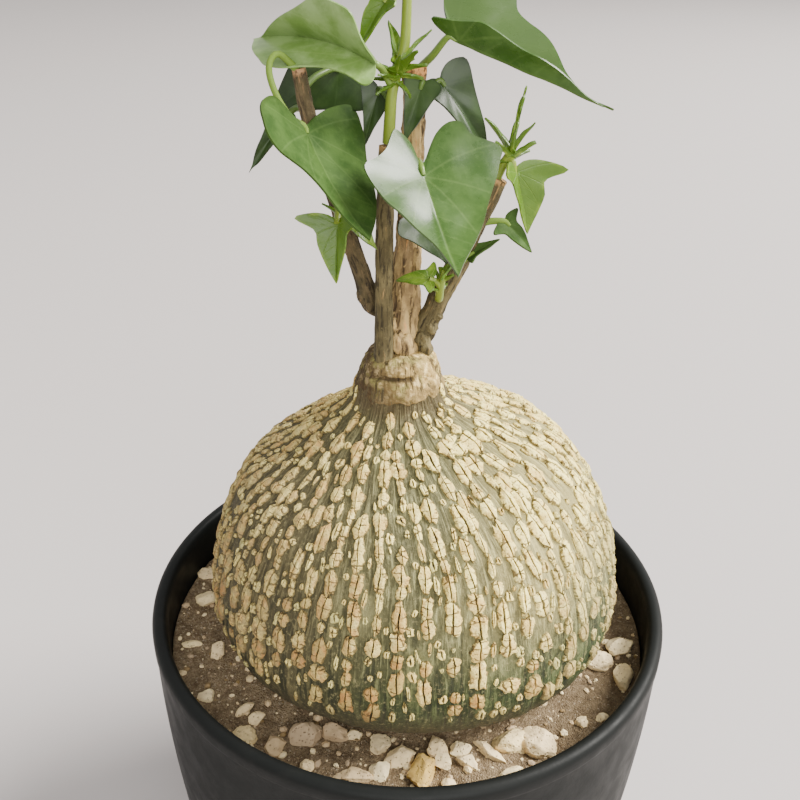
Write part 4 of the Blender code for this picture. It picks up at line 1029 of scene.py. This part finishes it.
vein_effect, takes, gives = effect("leaf_veins", {"Lie": "Vector", "Heart": "Float"}, ["Vein", "Blade"])
ahead, aside, _ = axes(takes["Lie"])
on_blade = between(ahead, -1.0, -0.9)
ahead = sums("SUBTRACT", ahead, takes["Heart"])
aside = sums("ABSOLUTE", aside)
angle = sums("ARCTAN2", aside, ahead)
reach = sums("SQRT", sums("ADD", times(ahead, ahead), times(aside, aside)))
bend = sums("ADD", angle, times(reach, VEIN_BEND))
veins = between(aside, 0.014, 0.002)
for at in VEIN_ANGLES:
    off = times(sums("ABSOLUTE", sums("SUBTRACT", bend, at)), reach)
    veins = sums("MAXIMUM", veins, between(off, 0.012, 0.002, 0.0, 0.7))
bands = sums("PINGPONG", sums("SUBTRACT", ahead, times(aside, SIDE_VEIN_SLANT)), SIDE_VEIN_STEP)
side_veins = times(between(bands, 0.012, 0.002, 0.0, 0.40), between(angle, 0.62, 0.50))
feed(gives, "Vein", times(sums("MAXIMUM", veins, side_veins), on_blade))
feed(gives, "Blade", on_blade)


def leaf_finish(name, dark, light, vein, under, stalk_colour, roughness=0.36, gloss=0.30, puckered=0.0):
    """Waxy leaf tissue: faint palmate veins from the heart, soft mottling, and a duller underside whose colour is
    partly painted shade.
    """
    made, shader, place = finish_for(name, roughness, gloss)
    lie = kept(shader, "lie", "Vector")
    tone = kept(shader, "tone")
    veins, on_blade = add("Group", {"Lie": lie, "Heart": LEAF_HEART}, node_tree=vein_effect).outputs
    mottle, cloud = patches(place, 130 + 240 * puckered, 0.35, 0.65)
    speckle, _ = patches(place, 900, 0.52, 0.70, 0.08)
    # The underside's colour is partly painted shade.
    painted(shader, dark, (mottle, light), (speckle, vein), (times(veins, 0.16 + 0.45 * puckered), vein),
            (times(tone, 0.85), under), (sums("SUBTRACT", 1.0, on_blade), stalk_colour))
    feed(shader, "Roughness", between(cloud, 0.3, 0.7, roughness - 0.02, roughness + 0.05))
    raised = sums("SUBTRACT", cloud, times(veins, 0.12 + 0.6 * puckered))
    relief(shader, raised, 0.12 + 0.7 * puckered, 0.0004)
    return made


leaf_green = leaf_finish("leaf_green", (0.020, 0.047, 0.008), (0.040, 0.079, 0.016), (0.13, 0.20, 0.06),
                         (0.030, 0.058, 0.011), (0.120, 0.190, 0.032), 0.50, 0.06)
leaf_pale = leaf_finish("leaf_pale", (0.022, 0.056, 0.006), (0.038, 0.082, 0.012), (0.16, 0.24, 0.07),
                        (0.034, 0.066, 0.012), (0.115, 0.185, 0.032), 0.27, 0.38)
leaf_sage = leaf_finish("leaf_sage", (0.108, 0.192, 0.040), (0.195, 0.295, 0.100), (0.30, 0.40, 0.15),
                        (0.095, 0.185, 0.018), (0.120, 0.190, 0.032), 0.34)
# Dark green leaves, their own colour made darker still as painted shade for the leaves that sit behind in shadow.
leaf_dark = leaf_finish("leaf_dark", (0.017, 0.037, 0.008), (0.031, 0.059, 0.014), (0.060, 0.100, 0.032),
                        (0.013, 0.028, 0.007), (0.070, 0.120, 0.022))
young_green = leaf_finish("young_green", (0.048, 0.106, 0.006), (0.128, 0.208, 0.015), (0.27, 0.34, 0.06),
                          (0.056, 0.115, 0.008), (0.150, 0.205, 0.022), 0.34, 0.30, 0.6)


def leaf(name, finish, route, **pose):
    """A leaf whose stalk ends just under the blade's heart."""
    slot = "leaf_dark_green" if finish == leaf_dark else "leaf_green"
    ahead = aim(math.radians(pose["heading"]), math.radians(pose["dive"]))
    end = Vector(pose["base"]) + (0.0015 + 0.02 * pose["length"]) * ahead
    whole = gathered([stalk([*route, (*pose["base"], 0.0008), (*end, 0.0005)]), blade(**pose)])
    put_up(name + "_leaf", whole, finish, slot, "leaf_" + name, sharp=60)


leaf("front", leaf_pale,
     [(-0.0020, -0.0010, 0.2835, 0.0010), (-0.0010, -0.0080, 0.2855, 0.0009), (0.0000, -0.0150, 0.2870, 0.0009)],
     base=(0.0008, -0.0200, 0.2869), heading=-66, dive=-47, bank=0, length=0.038, folds=(7, 15), arch=-0.30,
     side=-0.10, grid=FINE_GRID, halves=(
         [(-0.06, 0.05), (-0.14, 0.10), (-0.22, 0.16), (-0.27, 0.23), (-0.28, 0.29), (-0.26, 0.34), (-0.19, 0.37),
          (-0.15, 0.42), (-0.12, 0.49), (-0.09, 0.55), (-0.04, 0.58), (0.04, 0.54), (0.14, 0.49), (0.25, 0.42),
          (0.37, 0.35), (0.49, 0.29), (0.61, 0.21), (0.70, 0.14), (0.79, 0.07), (0.90, 0.0)],
         [(-0.05, 0.004), (-0.13, 0.014), (-0.19, 0.04), (-0.235, 0.09), (-0.255, 0.14), (-0.19, 0.19),
          (-0.11, 0.245), (-0.055, 0.32), (-0.01, 0.42), (0.07, 0.43), (0.20, 0.39), (0.30, 0.34), (0.39, 0.26),
          (0.49, 0.17), (0.62, 0.07), (0.76, 0.03), (0.90, 0.0)]))
leaf("left", leaf_green,
     [(-0.0297, -0.0100, 0.3070, 0.0010), (-0.0340, -0.0125, 0.3112, 0.0008), (-0.0360, -0.0150, 0.3085, 0.0008),
      (-0.0345, -0.0168, 0.3030, 0.0008), (-0.0312, -0.0168, 0.2975, 0.0008)],
     base=(-0.0280, -0.0160, 0.2952), heading=-55, dive=-46, bank=-27, length=0.0345, folds=(12, 5), arch=-0.15,
     grid=FINE_GRID, halves=(
         [(-0.02, 0.05), (-0.09, 0.15), (-0.17, 0.30), (-0.21, 0.44), (-0.21, 0.53), (-0.14, 0.57), (-0.01, 0.56),
          (0.11, 0.54), (0.28, 0.48), (0.43, 0.42), (0.58, 0.35), (0.72, 0.27), (0.86, 0.17), (1.0, 0.0)],
         [(-0.03, 0.05), (-0.10, 0.12), (-0.17, 0.19), (-0.185, 0.25), (-0.16, 0.32), (-0.10, 0.41), (-0.02, 0.48),
          (0.07, 0.51), (0.17, 0.53), (0.24, 0.51), (0.31, 0.45), (0.36, 0.36), (0.42, 0.28), (0.53, 0.22),
          (0.67, 0.17), (0.83, 0.09), (1.0, 0.0)]))
leaf("top_left", leaf_sage,
     [(-0.0070, -0.0060, 0.3030, 0.0010), (-0.0092, -0.0080, 0.3072, 0.0009)],
     base=(-0.0108, -0.0100, 0.3090), heading=150, dive=23, bank=-66, length=0.037, folds=(40, 80),
     rolls=(0, -110), arch=0.17, side=0.30, grid=FINE_GRID, halves=(
         [(-0.05, 0.05), (-0.08, 0.12), (-0.08, 0.18), (-0.05, 0.21), (0.02, 0.21), (0.08, 0.21), (0.17, 0.23),
          (0.24, 0.26), (0.30, 0.30), (0.36, 0.34), (0.41, 0.38), (0.47, 0.40), (0.55, 0.40), (0.63, 0.35),
          (0.80, 0.22), (1.0, 0.0)],
         [(-0.03, 0.04), (-0.02, 0.10), (0.04, 0.17), (0.09, 0.25), (0.13, 0.33), (0.17, 0.37), (0.25, 0.38),
          (0.34, 0.38), (0.45, 0.36), (0.52, 0.31), (0.60, 0.25), (0.69, 0.19), (0.81, 0.11), (0.92, 0.03),
          (1.0, 0.0)]))
leaf("top_right", leaf_pale,
     [(-0.0012, 0.0035, 0.3040, 0.0012), (0.0000, 0.0052, 0.3060, 0.0011), (0.0030, 0.0020, 0.3095, 0.0010)],
     base=(0.0066, -0.0020, 0.3144), heading=-17, dive=-18, bank=7, length=0.0445, folds=(22, 72), arch=0.0,
     grid=FINE_GRID, halves=(
         [(-0.05, 0.11), (-0.09, 0.18), (-0.14, 0.27), (-0.17, 0.37), (-0.10, 0.55), (0.07, 0.60), (0.19, 0.55),
          (0.25, 0.45), (0.34, 0.39), (0.42, 0.35), (0.49, 0.30), (0.55, 0.24), (0.61, 0.17), (0.67, 0.11),
          (0.74, 0.07), (0.82, 0.025), (0.91, 0.010), (1.0, 0.0)],
         [(-0.06, 0.03), (-0.10, 0.06), (-0.11, 0.09), (-0.04, 0.12), (0.05, 0.14), (0.16, 0.16), (0.24, 0.15),
          (0.34, 0.14), (0.44, 0.13), (0.52, 0.12), (0.60, 0.09), (0.70, 0.05), (0.82, 0.02), (0.91, 0.008),
          (1.0, 0.0)]))
leaf("right_dark", leaf_dark,
     [(-0.0010, 0.0025, 0.2985, 0.0011), (0.0026, 0.0044, 0.3012, 0.0010)],
     base=(0.0052, 0.0054, 0.3030), heading=-8, dive=-48, bank=55, length=0.026,
     folds=(22, 25), arch=0.25, widths=(0.55, 0.40), lobe=0.25)
leaf("centre_dark", leaf_dark,
     [(-0.0013, 0.0000, 0.3000, 0.0010), (0.0006, -0.0022, 0.3025, 0.0009)],
     base=(0.0006, -0.0040, 0.3040), heading=205, dive=-72, bank=-62, length=0.0165,
     folds=(20, 25), arch=0.10, widths=(0.55, 0.50), lobe=0.25)
leaf("behind_left", leaf_dark,
     [(-0.0286, -0.0090, 0.3030, 0.0010), (-0.0262, -0.0010, 0.3045, 0.0009), (-0.0220, 0.0060, 0.3055, 0.0009)],
     base=(-0.0205, 0.0090, 0.3050), heading=196, dive=-24, bank=-55, length=0.024,
     folds=(15, 20), arch=0.2, widths=(1.0, 1.0), lobe=0.5)
leaf("behind_centre", leaf_dark,
     [(-0.0070, -0.0060, 0.2990, 0.0010), (-0.0088, -0.0032, 0.3010, 0.0009)],
     base=(-0.0104, -0.0002, 0.3015), heading=215, dive=-70, bank=-45, length=0.0150,
     folds=(18, 18), arch=0.15, widths=(0.52, 0.52), lobe=0.3)
leaf("far_left", leaf_dark,
     [(-0.0275, -0.0080, 0.2950, 0.0010), (-0.0310, 0.0000, 0.2965, 0.0009)],
     base=(-0.0352, 0.0035, 0.2935), heading=212, dive=-48, bank=-50, length=0.018,
     folds=(35, 35), arch=0.15, widths=(0.36, 0.40), lobe=0.3)
leaf("behind_front", leaf_dark,
     [(-0.0022, 0.0000, 0.2640, 0.0010), (-0.0012, -0.0040, 0.2675, 0.0009)],
     base=(-0.0006, -0.0062, 0.2695), heading=-8, dive=-50, bank=50, length=0.0155,
     folds=(15, 15), arch=0.1, widths=(0.85, 0.75), lobe=0.5)
leaf("low_right", leaf_green,
     [(0.0158, -0.0030, 0.2668, 0.0011), (0.0190, -0.0032, 0.2682, 0.0010), (0.0225, -0.0028, 0.2684, 0.0009)],
     base=(0.0240, -0.0022, 0.2680), heading=-18, dive=-38, bank=42, length=0.0115,
     folds=(25, 30), arch=0.2, widths=(0.7, 1.1), lobe=0.6, small=True)
leaf("olive_right", leaf_green,
     [(0.0122, -0.0022, 0.2565, 0.0011), (0.0132, -0.0046, 0.2578, 0.0010)],
     base=(0.0145, -0.0052, 0.2592), heading=8, dive=33, bank=25, length=0.0095,
     folds=(20, 20), arch=0.1, widths=(0.7, 0.7), lobe=0.6, small=True)

# Young shoots: soft yellow-green stalks and small leaves that are still unfolding.
# Each grows from a bud on the old wood, and the main one stands on the front stem's cut end.
SHOOT = (
    (-0.0077, -0.0060, 0.2892, 0.0016), (-0.0074, -0.0060, 0.2950, 0.0015), (-0.0069, -0.0060, 0.3018, 0.0014),
    (-0.0055, -0.0050, 0.3074, 0.0014), (-0.0040, -0.0042, 0.3126, 0.0013), (-0.0036, -0.0040, 0.3228, 0.0012),
    (-0.0034, -0.0034, 0.3330, 0.0011), (-0.0022, -0.0030, 0.3410, 0.0009),
)


def spray(name, node, blades, stalks, spikes=()):
    """Stalks, small blades, and spikes given as (x, y, z), heading, dive and length of unopened leaflets."""
    parts = [stalk(route, 10, 40) for route in stalks]
    parts += [blade(small=True, grid=YOUNG_GRID, **spec) for spec in blades]
    parts += [blade(base=(x, y, z), heading=heading, dive=dive, bank=0, length=length, folds=(48, 48),
                    widths=(0.34, 0.34), lobe=0.3, small=True, grid=SPIKE_GRID)
              for x, y, z, heading, dive, length in spikes]
    put_up(name, gathered(parts), young_green, "young_green", node, sharp=60)


spray("low_left_spray", "spray_low_left", [
    dict(base=(-0.0205, -0.0125, 0.2705), heading=-100, dive=-72, bank=5, length=0.0165,
         folds=(30, 20), arch=0.1, widths=(0.75, 1.15), lobe=0.6),
    dict(base=(-0.0170, -0.0095, 0.2700), heading=-20, dive=-42, bank=45, length=0.0105,
         folds=(20, 20), arch=0.2, widths=(0.7, 0.7), lobe=0.6),
], [
    [(-0.0208, -0.0062, 0.2725, 0.0012), (-0.0205, -0.0100, 0.2722, 0.0011), (-0.0206, -0.0130, 0.2700, 0.0009)],
    [(-0.0205, -0.0095, 0.2724, 0.0010), (-0.0180, -0.0100, 0.2712, 0.0009), (-0.0162, -0.0097, 0.2692, 0.0008)],
], [
    (-0.0206, -0.0100, 0.2720, 70, 60, 0.0060), (-0.0203, -0.0104, 0.2716, 160, 35, 0.0055),
    (-0.0200, -0.0100, 0.2720, 10, 40, 0.0045),
])
spray("low_centre_spray", "spray_low_centre", [
    dict(base=(0.0045, -0.0100, 0.2540), heading=175, dive=5, bank=-35, length=0.0105,
         folds=(15, 20), arch=0.3, widths=(0.8, 0.8), lobe=0.6),
    dict(base=(0.0078, -0.0095, 0.2550), heading=-10, dive=60, bank=20, length=0.0085,
         folds=(25, 25), arch=0.1, widths=(0.7, 0.7), lobe=0.6),
], [
    [(0.0068, -0.0015, 0.2455, 0.0013), (0.0068, -0.0060, 0.2470, 0.0012), (0.0070, -0.0088, 0.2512, 0.0011),
     (0.0079, -0.0096, 0.2562, 0.0008)],
    [(0.0070, -0.0086, 0.2510, 0.0010), (0.0058, -0.0098, 0.2532, 0.0009), (0.0038, -0.0101, 0.2541, 0.0008)],
], [
    (0.0070, -0.0088, 0.2512, 120, 65, 0.0060), (0.0074, -0.0090, 0.2530, -40, 50, 0.0050),
    (0.0066, -0.0086, 0.2500, -120, 35, 0.0048), (0.0070, -0.0080, 0.2495, 60, 30, 0.0045),
])
spray("right_spray", "spray_right", [
    dict(base=(0.0255, -0.0045, 0.2832), heading=-8, dive=-72, bank=42, length=0.0185,
         folds=(30, 25), arch=0.1, widths=(1.20, 0.6), lobe=0.8, sweep=0.35),
    dict(base=(0.0243, -0.0030, 0.2880), heading=60, dive=76, bank=0, length=0.0160,
         folds=(50, 50), widths=(0.16, 0.16), lobe=0.3),
    dict(base=(0.0246, -0.0034, 0.2872), heading=-50, dive=60, bank=0, length=0.0110,
         folds=(40, 40), widths=(0.35, 0.35), lobe=0.3),
    dict(base=(0.0236, -0.0030, 0.2868), heading=178, dive=62, bank=0, length=0.0110,
         folds=(40, 40), widths=(0.50, 0.50), lobe=0.3),
], [
    [(0.0205, -0.0030, 0.2795, 0.0014), (0.0222, -0.0030, 0.2835, 0.0013), (0.0238, -0.0032, 0.2865, 0.0012),
     (0.0246, -0.0031, 0.2900, 0.0009)],
    [(0.0232, -0.0032, 0.2852, 0.0010), (0.0246, -0.0042, 0.2846, 0.0009), (0.0252, -0.0045, 0.2815, 0.0008)],
], [
    (0.0242, -0.0040, 0.2866, -90, 70, 0.0080), (0.0248, -0.0036, 0.2860, -20, 50, 0.0070),
    (0.0236, -0.0040, 0.2862, -140, 50, 0.0070), (0.0244, -0.0030, 0.2850, 30, 30, 0.0060),
    (0.0232, -0.0036, 0.2842, 190, 20, 0.0050),
])
spray("main_shoot_green", "main_shoot", [
    dict(base=(-0.0050, -0.0070, 0.3085), heading=35, dive=48, bank=0, length=0.0120,
         folds=(45, 45), widths=(0.25, 0.25), lobe=0.3),
    dict(base=(-0.0052, -0.0036, 0.3085), heading=120, dive=66, bank=0, length=0.0110,
         folds=(35, 35), widths=(0.6, 0.6), lobe=0.3),
    dict(base=(-0.0046, -0.0066, 0.3065), heading=-60, dive=48, bank=0, length=0.0100,
         folds=(35, 35), widths=(0.7, 0.6), lobe=0.4),
    dict(base=(-0.0085, -0.0050, 0.3230), heading=190, dive=-55, bank=-40, length=0.0140,
         folds=(30, 30), arch=0.1, widths=(0.8, 0.8), lobe=0.7),
    dict(base=(0.0020, -0.0020, 0.3400), heading=25, dive=10, bank=15, length=0.0200,
         folds=(20, 20), arch=0.25, widths=(0.9, 0.9), lobe=0.8),
    dict(base=(-0.0050, 0.0020, 0.3440), heading=120, dive=25, bank=0, length=0.0170,
         folds=(20, 20), arch=0.3, widths=(0.9, 0.9), lobe=0.8),
    dict(base=(-0.0025, -0.0050, 0.3440), heading=-110, dive=35, bank=0, length=0.0110,
         folds=(30, 30), arch=0.2, widths=(0.7, 0.7), lobe=0.6),
], [
    SHOOT,
    [(-0.0036, -0.0040, 0.3265, 0.0009), (-0.0060, -0.0045, 0.3262, 0.0009), (-0.0090, -0.0051, 0.3222, 0.0007)],
    [(-0.0030, -0.0033, 0.3350, 0.0009), (0.0000, -0.0026, 0.3385, 0.0009), (0.0035, -0.0016, 0.3402, 0.0007)],
    [(-0.0026, -0.0031, 0.3385, 0.0009), (-0.0040, 0.0000, 0.3420, 0.0009), (-0.0056, 0.0033, 0.3447, 0.0007)],
    [(-0.0024, -0.0030, 0.3400, 0.0008), (-0.0024, -0.0040, 0.3425, 0.0007), (-0.0028, -0.0062, 0.3450, 0.0006)],
], [
    (-0.0062, -0.0064, 0.3060, 175, 35, 0.0075), (-0.0060, -0.0068, 0.3050, -130, 25, 0.0070),
    (-0.0058, -0.0066, 0.3066, -80, 55, 0.0070), (-0.0050, -0.0064, 0.3070, -20, 25, 0.0075),
    (-0.0066, -0.0056, 0.3045, 150, 10, 0.0060), (-0.0050, -0.0060, 0.3058, 10, 5, 0.0060),
    (-0.0060, -0.0050, 0.3070, 100, 50, 0.0070), (-0.0064, -0.0066, 0.3036, -150, -10, 0.0055),
    (-0.0052, -0.0068, 0.3040, -50, -15, 0.0055),
])

# The stage: a plain pale floor, soft light from high on the right, and the viewer's eye.
# None of it belongs to the plant.
bm = bmesh.new()
bmesh.ops.create_grid(bm, x_segments=1, y_segments=1, size=15.0)
floor_mesh = bpy.data.meshes.new("floor")
bm.to_mesh(floor_mesh)
bm.free()
floor = bpy.data.objects.new("floor", floor_mesh)
bpy.context.scene.collection.objects.link(floor)
pale, shader, _ = finish_for("pale_floor", 0.9, 0.2)
shader.inputs["Base Color"].default_value = (0.40, 0.373, 0.365, 1.0)
floor_mesh.materials.append(pale)
floor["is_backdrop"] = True

world = bpy.data.worlds.new("soft_room")
world.use_nodes = True
world.node_tree.nodes["Background"].inputs["Color"].default_value = (1.0, 0.98, 0.96, 1.0)
world.node_tree.nodes["Background"].inputs["Strength"].default_value = 0.98
bpy.context.scene.world = world


def lamp(name, at, size, power, colour):
    light = bpy.data.lights.new(name, "AREA")
    light.shape = "DISK"
    light.size = size
    light.energy = power
    light.color = colour
    made = bpy.data.objects.new(name, light)
    made.location = at
    made.rotation_euler = (Vector((0, 0, 0.2)) - Vector(at)).to_track_quat("-Z", "Y").to_euler()
    bpy.context.scene.collection.objects.link(made)


lamp("key", (3.55, 0.40, 3.35), 3.0, 1020, (1.0, 0.97, 0.92))
lamp("fill", (0.30, -1.20, 0.75), 1.2, 24, (1.0, 0.98, 0.96))

eye = bpy.data.cameras.new("eye")
eye.sensor_width = 36.0
eye.lens = 40.5
eye.clip_start = 0.01
camera = bpy.data.objects.new("eye", eye)
camera.location = (0.0, -0.2397, 0.3427)
bpy.context.scene.collection.objects.link(camera)
bpy.context.scene.camera = camera
camera.rotation_mode = "QUATERNION"
yaw = Vector((0, 0, 1)), math.radians(0.88)
pitch = Vector((1, 0, 0)), math.radians(90 - 28.8)
roll = Vector((0, 0, 1)), math.radians(1.0)
camera.rotation_quaternion = Quaternion(*yaw) @ Quaternion(*pitch) @ Quaternion(*roll)

low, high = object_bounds()
